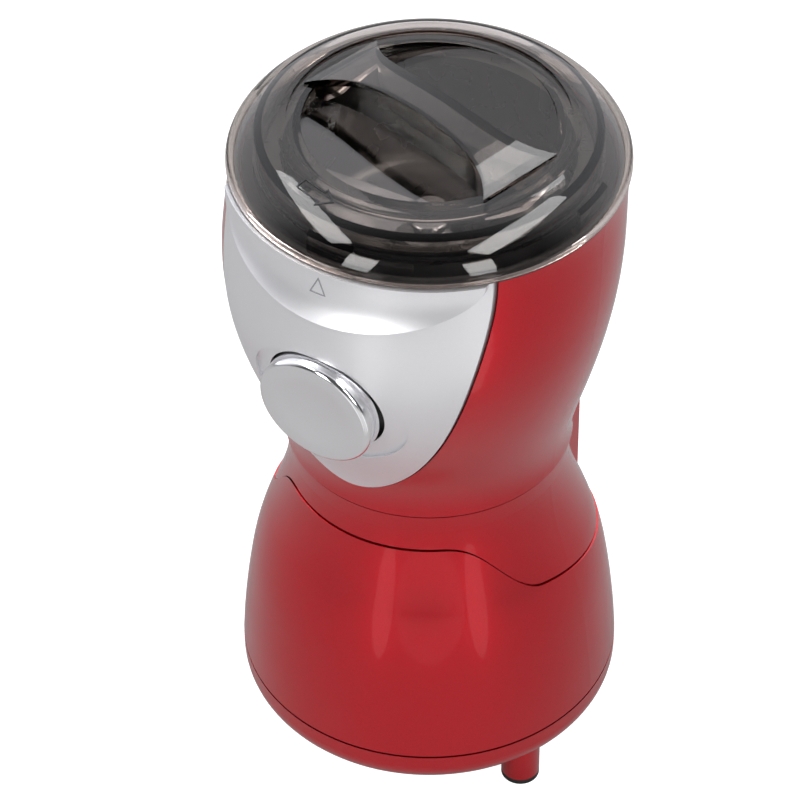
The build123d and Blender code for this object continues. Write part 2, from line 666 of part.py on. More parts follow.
def bottom_cover():
    shoulder_z = COVER_Z + COVER_CORNER_R
    corner_r = BASE_R - COVER_CORNER_R
    bend = math.sqrt(0.5)
    inner_r = COVER_CORNER_R - COVER_WALL
    lip_r = lower_radius(BASE_SEAM_Z + COVER_LIP_H) - SKIRT_WALL - PLAY
    top = BASE_SEAM_Z + COVER_LIP_H
    skin = [
        Line((0, 0, COVER_Z), (corner_r, 0, COVER_Z)),
        ThreePointArc(
            (corner_r, 0, COVER_Z),
            (corner_r + COVER_CORNER_R * bend, 0, shoulder_z - COVER_CORNER_R * bend),
            (BASE_R, 0, shoulder_z),
        ),
        Polyline(
            (BASE_R, 0, shoulder_z),
            (BASE_R, 0, BASE_SEAM_Z),
            (lip_r, 0, BASE_SEAM_Z),
            (lip_r, 0, top),
            (lip_r - COVER_LIP_WALL, 0, top),
            (lip_r - COVER_LIP_WALL, 0, shoulder_z),
            (corner_r + inner_r, 0, shoulder_z),
        ),
        ThreePointArc(
            (corner_r + inner_r, 0, shoulder_z),
            (corner_r + inner_r * bend, 0, shoulder_z - inner_r * bend),
            (corner_r, 0, COVER_FLOOR_Z),
        ),
        Polyline((corner_r, 0, COVER_FLOOR_Z), (0, 0, COVER_FLOOR_Z), (0, 0, COVER_Z)),
    ]
    body = turned(skin)
    boss_top = BASE_SEAM_Z + COVER_LIP_H + SEAM_GAP
    seat = FOOT_PAD_H + FOOT_PLUG_H + LEG_SEAT
    for theta in LEG_ANGLES:
        body += at(LEG_CIRCLE, theta, FOOT_PAD_H) * Cylinder(LEG_R, shoulder_z - FOOT_PAD_H, align=UP)
        boss = Cylinder(COVER_BOSS_R, boss_top - COVER_FLOOR_Z, align=UP)
        body += at(LEG_CIRCLE, theta, COVER_FLOOR_Z) * boss
        bore = Cylinder(LEG_BORE_R, seat - FOOT_PAD_H + OVERRUN, align=UP)
        body -= at(LEG_CIRCLE, theta, FOOT_PAD_H - OVERRUN) * bore
        body -= at(LEG_CIRCLE, theta, seat - OVERRUN) * Cylinder(SCREW_R + FIT, boss_top, align=UP)
    body &= rod(BASE_R, 0, BASE_SEAM_Z) + rod(lip_r, 0, boss_top)
    for count in range(VENT_COUNT):
        half = VENT_WIDTH / 2
        top = COVER_FLOOR_Z + OVERRUN
        vent = block(-half, half, VENT_INNER_R, VENT_OUTER_R, COVER_Z - OVERRUN, top)
        body -= Rot(0, 0, 360 * (count + 0.5) / VENT_COUNT) * vent
    for side in (-1, 1):
        foot = Pos(side * CLAMP_SPAN, CLAMP_Y, COVER_FLOOR_Z)
        body += foot * Cylinder(CLAMP_POST_R, CLAMP_POST_H, align=UP)
        body -= foot * Cylinder(SCREW_R + FIT, CLAMP_POST_H, align=UP)
    half_w = CAPACITOR_WIDTH / 2 + FIT
    half_l = CAPACITOR_LENGTH / 2 + FIT
    fence = block(
        CAPACITOR_X - half_w - CAPACITOR_FENCE,
        CAPACITOR_X + half_w + CAPACITOR_FENCE,
        -half_l - CAPACITOR_FENCE,
        half_l + CAPACITOR_FENCE,
        COVER_FLOOR_Z - COVER_WALL / 2,
        COVER_FLOOR_Z + CAPACITOR_FENCE_H,
    )
    body += fence - block(
        CAPACITOR_X - half_w, CAPACITOR_X + half_w, -half_l, half_l, COVER_FLOOR_Z, COVER_FLOOR_Z + REACH
    )
    return body


def foot(theta):
    pad = fillet(Cylinder(LEG_R, FOOT_PAD_H, align=UP).edges().group_by(Axis.Z)[0], FOOT_EDGE_R)
    plug = Pos(0, 0, FOOT_PAD_H) * Cylinder(LEG_BORE_R - FIT, FOOT_PLUG_H, align=UP)
    return at(LEG_CIRCLE, theta) * (pad + plug)


def cover_screws():
    seat = FOOT_PAD_H + FOOT_PLUG_H + LEG_SEAT
    return group([at(LEG_CIRCLE, theta, seat) * screw(COVER_SCREW_L, down=False) for theta in LEG_ANGLES])


def seam_screws():
    seat = WAIST_SEAM_Z - SEAM_GAP - FLANGE_WALL
    one = screw(SEAM_SCREW_L, down=False)
    return group([at(SEAM_SCREW_CIRCLE, theta, seat) * one for theta in SEAM_SCREW_ANGLES])


def cord_grommet():
    wall_out = lower_radius(INLET_Z)
    inside = wall_out - SKIRT_WALL - GROMMET_FLANGE_H
    plane = Plane(origin=(0, 0, INLET_Z), x_dir=(1, 0, 0), z_dir=(0, 1, 0))
    outer_low = lower_radius(INLET_Z - GROMMET_FLANGE_R) + HOLD
    throat = math.sqrt((wall_out - SKIRT_WALL) ** 2 - GROMMET_FLANGE_R**2) - GROMMET_FLANGE_H

    def disc(radius, low, high):
        return plane * (Pos(0, 0, low) * Cylinder(radius, high - low, align=UP))

    body = disc(GROMMET_NECK_R, throat, outer_low + GROMMET_FLANGE_H)
    body += disc(GROMMET_FLANGE_R, outer_low, outer_low + GROMMET_FLANGE_H)
    body += disc(GROMMET_FLANGE_R, throat - GROMMET_FLANGE_H, throat)
    return body - disc(INLET_BORE_R, inside - REACH, REACH)


def cord_clamp():
    low = COVER_FLOOR_Z + CLAMP_POST_H
    half = CLAMP_SPAN + CLAMP_POST_R
    bar = block(-half, half, CLAMP_Y - CLAMP_DEPTH / 2, CLAMP_Y + CLAMP_DEPTH / 2, low, low + CLAMP_BAR_H)
    for side in (-1, 1):
        hole = Cylinder(SCREW_R + FIT, CLAMP_BAR_H + OVERRUN * 2, align=UP)
        bar -= Pos(side * CLAMP_SPAN, CLAMP_Y, low - OVERRUN) * hole
    return bar


def clamp_screws():
    top = COVER_FLOOR_Z + CLAMP_POST_H + CLAMP_BAR_H
    return group([Pos(side * CLAMP_SPAN, CLAMP_Y, top) * screw(CLAMP_SCREW_L) for side in (-1, 1)])


def suppressor_capacitor():
    half_w = CAPACITOR_WIDTH / 2
    half_l = CAPACITOR_LENGTH / 2
    top = COVER_FLOOR_Z + CAPACITOR_HEIGHT
    body = block(CAPACITOR_X - half_w, CAPACITOR_X + half_w, -half_l, half_l, COVER_FLOOR_Z, top)
    return fillet(body.edges().filter_by(Axis.Z), CAPACITOR_FENCE / 2)


def power_button():
    low = BUTTON_PROUD - BUTTON_THICK
    cap = Pos(0, 0, low) * Cylinder(BUTTON_R, BUTTON_THICK, align=UP)
    cap = fillet(cap.edges().group_by(Axis.Z)[-1], BUTTON_EDGE_R)
    bulge = (BUTTON_DISH_R**2 + BUTTON_DISH**2) / (2 * BUTTON_DISH)
    cap -= Pos(0, 0, BUTTON_PROUD - BUTTON_DISH + bulge) * Sphere(bulge)
    stem = Pos(0, 0, low - STEM_LENGTH) * Cylinder(STEM_R, STEM_LENGTH, align=UP)
    clip_top = -WELL_DEPTH - WELL_WALL - FIT
    groove = Pos(0, 0, clip_top - CLIP_WALL) * Cylinder(CLIP_R, CLIP_WALL, align=UP)
    groove -= Pos(0, 0, clip_top - CLIP_WALL) * Cylinder(STEM_R - CLIP_GROOVE, CLIP_WALL, align=UP)
    return BUTTON_PLANE * (cap + stem - groove)


def button_clip():
    clip_top = -WELL_DEPTH - WELL_WALL - FIT
    bore = STEM_R - CLIP_GROOVE + HOLD
    return BUTTON_PLANE * sector(CLIP_R, bore, clip_top - CLIP_WALL, clip_top, 0, CLIP_ARC)


def button_spring():
    low = -WELL_DEPTH + SPRING_WIRE_R
    high = BUTTON_PROUD - BUTTON_THICK - SPRING_WIRE_R
    height = high - low
    path = Helix(pitch=height / SPRING_TURNS, height=height, radius=SPRING_R)
    wire = sweep(Plane(path @ 0, z_dir=path % 0) * Circle(SPRING_WIRE_R), path=path)
    return BUTTON_PLANE * (Pos(0, 0, low) * wire)


STEM_TIP = BUTTON_PROUD - BUTTON_THICK - STEM_LENGTH
SWITCH_FACE = STEM_TIP - PLUNGER_OUT


def switch_plunger():
    rod_part = button_rod(PLUNGER_R, SWITCH_FACE - PLUNGER_IN, STEM_TIP - HOLD)
    return rod_part


def switch_body():
    """Block of the power switch."""
    middle = Pos(0, 0, SWITCH_FACE - SWITCH_DEPTH / 2)
    return BUTTON_PLANE * (middle * Box(SWITCH_LENGTH, SWITCH_HEIGHT, SWITCH_DEPTH))


def switch_pins(radius, low, high):
    """Locating pins through the power switch, square to its broad side."""
    found = []
    for side in (-1, 1):
        pin = Rot(-90, 0, 0) * Cylinder(radius, high - low, align=UP)
        place = Pos(side * SWITCH_PIN_SPAN / 2, low, SWITCH_FACE - SWITCH_DEPTH * 2 / 3)
        found.append(BUTTON_PLANE * (place * pin))
    return found


def power_switch():
    body = switch_body()
    hole_end = SWITCH_FACE - PLUNGER_IN - BUTTON_TRAVEL - FIT
    body -= button_rod(PLUNGER_R + SHAFT_PLAY, hole_end, SWITCH_FACE + OVERRUN)
    for pin in switch_pins(SWITCH_PIN_R + FIT, -SWITCH_HEIGHT, SWITCH_HEIGHT):
        body -= pin
    return body


def switch_bracket():
    y_front = -BUTTON_FACE_Y - SWITCH_FACE
    y_rear = y_front + SWITCH_DEPTH
    half = SWITCH_LENGTH / 2
    top = BUTTON_Z + SWITCH_HEIGHT
    y_near = y_front + BRACKET_WALL / 2
    post = block(-half, half, y_near, y_rear, DECK_TOP_Z, top)
    window_half = half - BRACKET_WALL
    window_top = BUTTON_Z - SWITCH_HEIGHT - BRACKET_WALL
    post -= block(-window_half, window_half, -REACH, REACH, DECK_TOP_Z, window_top)
    above = Box(REACH, REACH, REACH, align=(Align.CENTER, Align.MIN, Align.CENTER))
    post -= BUTTON_PLANE * (Pos(0, -SWITCH_HEIGHT / 2, SWITCH_FACE) * above)
    for side in (-1, 1):
        inner = side * half
        outer = side * (half + BRACKET_FOOT)
        toe_top = DECK_TOP_Z + BRACKET_FOOT_H
        toe = block(min(inner, outer), max(inner, outer), y_near, y_rear, DECK_TOP_Z, toe_top)
        toe -= bracket_screw_place(side, 0) * Cylinder(SCREW_R + FIT, OVERRUN * 2)
        post += toe
    under = -SWITCH_HEIGHT / 2
    for pin in switch_pins(SWITCH_PIN_R, under - BRACKET_WALL, under + SWITCH_PIN_H):
        post += pin
    return post


def bracket_screw_place(side, lift):
    """Place of a switch bracket screw on the deck."""
    y_middle = -BUTTON_FACE_Y - SWITCH_FACE + SWITCH_DEPTH / 2 + BRACKET_WALL / 4
    return Pos(side * (SWITCH_LENGTH + BRACKET_FOOT) / 2, y_middle, DECK_TOP_Z + lift)


def bracket_screws():
    return group([bracket_screw_place(side, BRACKET_FOOT_H) * screw(BRACKET_SCREW_L) for side in (-1, 1)])


def bowl_collar():
    body = ring(COLLAR_R, COLLAR_BORE_R, COLLAR_LOW_Z, COLLAR_SEAT_Z)
    body += ring(RIM_BORE_R, COLLAR_BORE_R, COLLAR_SEAT_Z - COLLAR_FLANGE_H, COLLAR_SEAT_Z)
    body += ring(SPIGOT_R, COLLAR_BORE_R, COLLAR_SEAT_Z, COLLAR_TOP_Z)
    for count in range(BAYONET_COUNT):
        middle = count * 360 / BAYONET_COUNT + BAYONET_START + BAYONET_ARC / 2
        body += sector(BAYONET_R, COLLAR_BORE_R, COLLAR_TOP_Z - BAYONET_H, COLLAR_TOP_Z, middle, BAYONET_ARC)
    height = COLLAR_SEAT_Z - COLLAR_LOW_Z
    boss = at(PIN_CIRCLE, PIN_THETA, COLLAR_LOW_Z) * Cylinder(PIN_BOSS_R, height, align=UP)
    body += boss - rod(COLLAR_BORE_R, 0, RIM_Z)
    hole = Cylinder(PIN_R + SHAFT_PLAY, height + OVERRUN * 2, align=UP)
    return body - at(PIN_CIRCLE, PIN_THETA, COLLAR_LOW_Z - OVERRUN) * hole


def grinding_bowl():
    corner = BOWL_R - BOWL_CORNER_R
    bend = math.sqrt(0.5)
    inner = BOWL_CORNER_R - BOWL_WALL
    middle_z = BOWL_FLOOR_Z + BOWL_CORNER_R
    flange_low = COLLAR_TOP_Z
    skin = [
        Line((BOWL_HOLE_R, 0, BOWL_FLOOR_Z), (corner, 0, BOWL_FLOOR_Z)),
        ThreePointArc(
            (corner, 0, BOWL_FLOOR_Z),
            (corner + BOWL_CORNER_R * bend, 0, middle_z - BOWL_CORNER_R * bend),
            (BOWL_R, 0, middle_z),
        ),
        Polyline(
            (BOWL_R, 0, middle_z),
            (BOWL_R, 0, flange_low),
            (SPIGOT_R, 0, flange_low),
            (SPIGOT_R, 0, BOWL_RIM_Z),
            (BOWL_R - BOWL_WALL, 0, BOWL_RIM_Z),
            (BOWL_R - BOWL_WALL, 0, middle_z),
        ),
        ThreePointArc(
            (BOWL_R - BOWL_WALL, 0, middle_z),
            (corner + inner * bend, 0, middle_z - inner * bend),
            (corner, 0, BOWL_INSIDE_Z),
        ),
        Polyline((corner, 0, BOWL_INSIDE_Z), (BOWL_HOLE_R, 0, BOWL_INSIDE_Z), (BOWL_HOLE_R, 0, BOWL_FLOOR_Z)),
    ]
    return turned(skin)


def shaft_seal():
    bore = SHAFT_R + SHAFT_PLAY
    neck = BOWL_HOLE_R - HOLD
    low = BOWL_FLOOR_Z - HOLD
    high = BOWL_INSIDE_Z + HOLD
    return turned_outline(
        [
            (bore, BOWL_FLOOR_Z - SEAL_SKIRT_H),
            (neck, BOWL_FLOOR_Z - SEAL_SKIRT_H),
            (SEAL_COLLAR_R, low - SEAL_COLLAR_H),
            (SEAL_COLLAR_R, low),
            (neck, low),
            (neck, high),
            (SEAL_COLLAR_R, high),
            (neck, high + SEAL_COLLAR_H - HOLD),
            (bore, high + SEAL_COLLAR_H - HOLD),
        ]
    )


def lid_seal():
    return ring(SEAL_R, SEAL_BORE_R, BOWL_RIM_Z, SEAL_TOP_Z)


def grip_outline(trim):
    """Half of the grip's plan, as a row of edges on the +Y side, pulled in by a trim."""
    middle = GRIP_HALF_WIDTH - trim
    end = GRIP_END_HALF_WIDTH - trim
    reach = GRIP_REACH - trim
    edges = []
    for side in (-1, 1):
        edges.append(
            Bezier(
                (0, middle, 0),
                (side * reach * GRIP_MIDDLE_SHARE, middle, 0),
                (side * reach * GRIP_FLARE_SHARE, middle, 0),
                (side * reach, end, 0),
            )
        )
    return edges


def grip_solid(trim, low):
    """Arched finger grip: a waisted plan under an arched top."""
    far = GRIP_REACH - trim
    near = [mirror(edge, Plane.XZ) for edge in grip_outline(trim)]
    end = GRIP_END_HALF_WIDTH - trim
    ends = [Line((side * far, -end, 0), (side * far, end, 0)) for side in (-1, 1)]
    plan = Pos(0, 0, low) * extrude(make_face(grip_outline(trim) + near + ends), amount=RIM_Z)
    crest = LID_CREST_Z - trim
    arch = [
        ThreePointArc((-far, 0, crest), (0, 0, crest + GRIP_RISE), (far, 0, crest)),
        Polyline((far, 0, crest), (far, 0, low), (-far, 0, low), (-far, 0, crest)),
    ]
    return plan & extrude(make_face(arch), amount=REACH, dir=(0, 1, 0), both=True)


def lid_skin(wall):
    """Shoulder of the lid from its skirt to its crest, moved inwards."""
    start_z = LID_LOW_Z + LID_STRAIGHT
    rise = LID_CREST_Z - start_z - wall
    run = LID_R - LID_CREST_R - wall
    return Bezier(
        (LID_R - wall, 0, start_z),
        (LID_R - wall, 0, start_z + rise * LID_BEND_SHARE),
        (LID_CREST_R + run * LID_BEND_SHARE, 0, LID_CREST_Z - wall),
        (LID_CREST_R, 0, LID_CREST_Z - wall),
    )


def lid_dome(wall):
    """Everything under the lid's outer skin, moved inwards."""
    skin = lid_skin(wall)
    outline = Polyline(
        skin @ 1,
        (0, 0, LID_CREST_Z - wall),
        (0, 0, LID_LOW_Z),
        (LID_R - wall, 0, LID_LOW_Z),
        skin @ 0,
    )
    return turned([skin, outline])


def lid_dish(wall):
    """The lid's sunk top: a shallow step, and a trough that falls from both sides to the grip."""
    top = LID_CREST_Z + GRIP_RISE + OVERRUN
    edge = LID_STEP_Z - wall
    half = LID_FLOOR_R + wall
    valley = Polyline(
        (0, 0, edge - LID_TROUGH),
        (0, half, edge),
        (0, half, top),
        (0, -half, top),
        (0, -half, edge),
        (0, 0, edge - LID_TROUGH),
    )
    trough = extrude(make_face(valley), amount=REACH, dir=(1, 0, 0), both=True)
    return rod(LID_LIP_R + wall, edge, top) + (trough & rod(half, RIM_Z, top))


def lid():
    body = (lid_dome(0) - lid_dish(0)) - (lid_dome(LID_WALL) - lid_dish(LID_WALL))
    body += grip_solid(0, RIM_Z) & lid_dish(LID_WALL / 2)
    body -= grip_solid(GRIP_WALL, RIM_Z)
    cover = lid_dome(LID_WALL / 2) + rod(RIM_R, TAB_LOW_Z, LID_LOW_Z)
    body += ring(SEAL_R, SEAL_R - LID_RIB, SEAL_TOP_Z, LID_CREST_Z) & (cover - lid_dish(LID_WALL / 2))
    for count in range(BAYONET_COUNT):
        theta = count * 360 / BAYONET_COUNT - LID_REST_ANGLE
        body += sector(RIM_BORE_R, TAB_BORE_R, TAB_LOW_Z, TAB_TOP_Z, theta, TAB_ARC)
        body += sector(RIM_BORE_R, HOOK_BORE_R, TAB_LOW_Z, LID_CREST_Z, theta, TAB_ARC) & cover
    return Rot(0, 0, LID_REST_ANGLE) * body


def interlock_pin():
    high = TAB_LOW_Z + PIN_LIFT
    low = COLLAR_LOW_Z - LEDGE_WALL - PIN_FOOT_DROP + PIN_TRAVEL + PLAY
    pin = Cylinder(PIN_R, high - low, align=UP)
    pin = fillet(pin.edges().group_by(Axis.Z)[-1], PIN_R / 2)
    return at(PIN_CIRCLE, PIN_THETA, low) * pin


def interlock_switch():
    top = COLLAR_LOW_Z - LEDGE_WALL - PIN_FOOT_DROP
    body = Box(INTERLOCK_LENGTH, INTERLOCK_DEPTH, INTERLOCK_HEIGHT, align=DOWN)
    for side in (-1, 1):
        hole = Rot(90, 0, 0) * Cylinder(PIN_R, REACH)
        body -= Pos(side * INTERLOCK_LENGTH / 4, 0, -INTERLOCK_HEIGHT / 2) * hole
    return at(INTERLOCK_CIRCLE, PIN_THETA, top) * body


def motor_shaft():
    return rod(SHAFT_R, SHAFT_LOW_Z, SHAFT_TOP_Z)


def blade_hub():
    return ring(HUB_R, SHAFT_R + HOLD, HUB_LOW_Z, BLADE_LOW_Z)


def blade():
    top = BLADE_LOW_Z + BLADE_THICK
    points = [
        (-BLADE_SPAN, 0, BLADE_LOW_Z + BLADE_RISE),
        (-BLADE_FLAT, 0, BLADE_LOW_Z),
        (BLADE_FLAT, 0, BLADE_LOW_Z),
        (BLADE_SPAN, 0, BLADE_LOW_Z + BLADE_RISE),
        (BLADE_SPAN, 0, top + BLADE_RISE),
        (BLADE_FLAT, 0, top),
        (-BLADE_FLAT, 0, top),
        (-BLADE_SPAN, 0, top + BLADE_RISE),
    ]
    strip = extrude(make_face(Polyline(*points, close=True)), amount=BLADE_WIDTH, dir=(0, 1, 0), both=True)
    half = BLADE_WIDTH / 2
    tip = BLADE_TIP_WIDTH / 2
    plan = [
        (-BLADE_SPAN, -half),
        (-BLADE_FLAT, -half),
        (BLADE_FLAT, -half),
        (BLADE_SPAN, half - BLADE_TIP_WIDTH),
        (BLADE_SPAN - tip, half),
        (BLADE_FLAT, half),
        (-BLADE_FLAT, half),
        (-BLADE_SPAN, BLADE_TIP_WIDTH - half),
    ]
    outline = extrude(make_face(Polyline(*[(x, y, 0) for x, y in plan], close=True)), amount=RIM_Z)
    return (strip & outline) - rod(SHAFT_R + HOLD, BLADE_LOW_Z - OVERRUN, top + OVERRUN)


def blade_nut():
    low = BLADE_LOW_Z + BLADE_THICK
    body = Pos(0, 0, low) * extrude(RegularPolygon(NUT_R, 6), amount=NUT_H)
    dome = Pos(0, 0, low + NUT_H) * Cylinder(NUT_R * math.sqrt(3) / 2, NUT_DOME_H, align=UP)
    dome = fillet(dome.edges().group_by(Axis.Z)[-1], NUT_DOME_H * 2 / 3)
    body += dome
    return body - rod(SHAFT_R + HOLD, low - OVERRUN, SHAFT_TOP_Z + FIT)


def motor_damper():
    body = ring(DAMPER_R, DAMPER_BORE_R, PLATE_TOP_Z, DECK_LOW_Z)
    for theta in MOTOR_SCREW_ANGLES:
        hole = Cylinder(SCREW_R + FIT, DAMPER_H + OVERRUN * 2, align=UP)
        body -= at(MOTOR_SCREW_CIRCLE, theta, PLATE_TOP_Z - OVERRUN) * hole
    return body


def bracket(plate_low, plate_top, boss_low, boss_top, leg_low, leg_high):
    """Motor bracket: a plate with a bearing boss and two legs."""
    body = rod(MOTOR_R, plate_low, plate_top)
    body += rod(BEARING_BOSS_R, boss_low, boss_top)
    for side in (-1, 1):
        x_in = side * (MOTOR_R - LEG_DEPTH)
        x_out = side * MOTOR_R
        leg = block(min(x_in, x_out), max(x_in, x_out), -LEG_WIDTH / 2, LEG_WIDTH / 2, leg_low, leg_high)
        body += leg & rod(MOTOR_R, leg_low, leg_high)
        body -= Pos(side * BOLT_CIRCLE, 0, boss_low) * Cylinder(SCREW_R + FIT, RIM_Z)
    return body - rod(BEARING_R, boss_low - OVERRUN, boss_top + OVERRUN)


def motor_upper_bracket():
    body = bracket(PLATE_LOW_Z, PLATE_TOP_Z, PLATE_TOP_Z - BEARING_H, PLATE_TOP_Z, STATOR_TOP_Z, PLATE_TOP_Z)
    for theta in MOTOR_SCREW_ANGLES:
        body -= at(MOTOR_SCREW_CIRCLE, theta, PLATE_LOW_Z - OVERRUN) * Cylinder(
            SCREW_R + FIT, BRACKET_PLATE + OVERRUN * 2, align=UP
        )
    return body


def motor_lower_bracket():
    body = bracket(
        LOWER_PLATE_LOW_Z,
        LOWER_PLATE_TOP_Z,
        LOWER_BEARING_LOW_Z,
        LOWER_PLATE_TOP_Z,
        LOWER_PLATE_LOW_Z,
        STATOR_LOW_Z,
    )
    for side in (-1, 1):
        near = side * BRUSH_BOX_START
        far = side * (BRUSH_BOX_START + BRUSH_BOX_LENGTH)
        half = BRUSH_WIDTH / 2 + BRUSH_BOX_WALL
        top = BRUSH_Z - BRUSH_HEIGHT / 2 - BRUSH_BOX_WALL - BRUSH_GAP
        body += block(-half, half, min(near, far), max(near, far), LOWER_PLATE_TOP_Z, top)
    return body


def bearing(low):
    """Plain bush in a motor bracket."""
    return ring(BEARING_R, SHAFT_R + SHAFT_PLAY, low, low + BEARING_H)


def motor_screws():
    one = screw(BRACKET_PLATE + DAMPER_H + DECK_WALL, down=False)
    return group([at(MOTOR_SCREW_CIRCLE, theta, PLATE_LOW_Z) * one for theta in MOTOR_SCREW_ANGLES])


def motor_bolts():
    one = screw(PLATE_TOP_Z - LOWER_PLATE_LOW_Z, down=False)
    return group([Pos(side * BOLT_CIRCLE, 0, LOWER_PLATE_LOW_Z) * one for side in (-1, 1)])


def coil_box(side, grow):
    """Space round one field coil."""
    half = COIL_INNER_HALF + COIL_WALL + grow
    y_near = side * (COIL_Y - grow)
    y_far = side * (COIL_Y + COIL_DEPTH + grow)
    low = STATOR_LOW_Z - COIL_OVERHANG
    high = STATOR_TOP_Z + COIL_OVERHANG
    return block(-half, half, min(y_near, y_far), max(y_near, y_far), low, high)


def coil_window(shrink):
    """Pole inside one field coil."""
    half = COIL_INNER_HALF - shrink
    low = STATOR_LOW_Z - COIL_OVERHANG / 4 + shrink
    high = STATOR_TOP_Z + COIL_OVERHANG / 4 - shrink
    return block(-half, half, -REACH, REACH, low, high)


def field_coil(side):
    body = coil_box(side, 0) - coil_window(0)
    corners = body.edges().filter_by(Axis.Y)
    middle = Vector(0, 0, (STATOR_LOW_Z + STATOR_TOP_Z) / 2)
    return fillet(corners.sort_by_distance(middle)[-4:], COIL_WALL / 2)


def stator_core():
    body = ring(MOTOR_R, BORE_R, STATOR_LOW_Z, STATOR_TOP_Z)
    for side in (-1, 1):
        body -= coil_box(side, WIRE_GAP) - coil_window(WIRE_GAP)
        body -= Pos(side * BOLT_CIRCLE, 0, STATOR_LOW_Z - OVERRUN) * Cylinder(
            SCREW_R + FIT, STATOR_H + OVERRUN * 2, align=UP
        )
    return body


def armature_core():
    body = ring(BORE_R - AIR_GAP, SHAFT_R + HOLD, STATOR_LOW_Z, STATOR_TOP_Z)
    outer = BORE_R - AIR_GAP
    for count in range(SLOT_COUNT):
        half = SLOT_WIDTH / 2
        low = STATOR_LOW_Z - OVERRUN
        slot = block(-half, half, outer - SLOT_DEPTH, outer + OVERRUN, low, STATOR_TOP_Z + OVERRUN)
        body -= Rot(0, 0, 360 * count / SLOT_COUNT) * slot
    return body


def armature_winding():
    outer = BORE_R - AIR_GAP - SLOT_WIDTH / 2
    low = STATOR_LOW_Z - END_TURN_H
    high = STATOR_TOP_Z + END_TURN_H
    body = ring(outer, END_TURN_BORE_R, low, STATOR_LOW_Z - WIRE_GAP)
    body += ring(outer, END_TURN_BORE_R, STATOR_TOP_Z + WIRE_GAP, high)
    half = SLOT_WIDTH / 2 - WIRE_GAP
    root = BORE_R - AIR_GAP - SLOT_DEPTH + WIRE_GAP
    for count in range(SLOT_COUNT):
        bar = block(-half, half, root, outer - WIRE_GAP, low + WIRE_GAP, high - WIRE_GAP)
        body += Rot(0, 0, 360 * count / SLOT_COUNT) * bar
    return body


def commutator():
    body = ring(COMMUTATOR_R, SHAFT_R + HOLD, COMMUTATOR_LOW_Z, COMMUTATOR_TOP_Z)
    for count in range(SLOT_COUNT):
        slit = block(
            -COMMUTATOR_SLIT / 2,
            COMMUTATOR_SLIT / 2,
            COMMUTATOR_R - COMMUTATOR_SLIT_DEPTH,
            COMMUTATOR_R + OVERRUN,
            COMMUTATOR_LOW_Z - OVERRUN,
            COMMUTATOR_TOP_Z + OVERRUN,
        )
        body -= Rot(0, 0, 360 * (count + 0.5) / SLOT_COUNT) * slit
    return body


def brush_start():
    return COMMUTATOR_R + BRUSH_GAP


def along(side, width, height, near, far):
    """Block along the brush line, on the front (-1) or rear (+1) side."""
    y_low = min(side * near, side * far)
    y_high = max(side * near, side * far)
    return block(-width / 2, width / 2, y_low, y_high, BRUSH_Z - height / 2, BRUSH_Z + height / 2)


def carbon_brush(side):
    return along(side, BRUSH_WIDTH, BRUSH_HEIGHT, brush_start(), brush_start() + BRUSH_LENGTH)


def brush_holder(side):
    wall = BRUSH_BOX_WALL + BRUSH_GAP
    far = BRUSH_BOX_START + BRUSH_BOX_LENGTH
    body = along(side, BRUSH_WIDTH + wall * 2, BRUSH_HEIGHT + wall * 2, BRUSH_BOX_START, far)
    room = BRUSH_GAP * 2
    return body - along(side, BRUSH_WIDTH + room, BRUSH_HEIGHT + room, 0, far - BRUSH_BOX_WALL)


def brush_spring(side):
    near = brush_start() + BRUSH_LENGTH
    far = BRUSH_BOX_START + BRUSH_BOX_LENGTH - BRUSH_BOX_WALL
    plane = Plane(origin=(0, side * near, BRUSH_Z), x_dir=(1, 0, 0), z_dir=(0, side, 0))
    return plane * Cylinder(BRUSH_SPRING_R, far - near, align=UP)


def cooling_fan():
    low = FAN_TOP_Z - FAN_H
    body = rod(FAN_HUB_R, low, FAN_TOP_Z)
    body += rod(FAN_R, low, low + FAN_PLATE)
    for count in range(FAN_BLADES):
        vane = block(-FAN_BLADE_WALL / 2, FAN_BLADE_WALL / 2, FAN_HUB_R / 2, FAN_R, low, FAN_TOP_Z)
        body += Rot(0, 0, 360 * count / FAN_BLADES) * (vane & rod(FAN_R, low, FAN_TOP_Z))
    return body - rod(SHAFT_R + HOLD, low - OVERRUN, FAN_TOP_Z + OVERRUN)


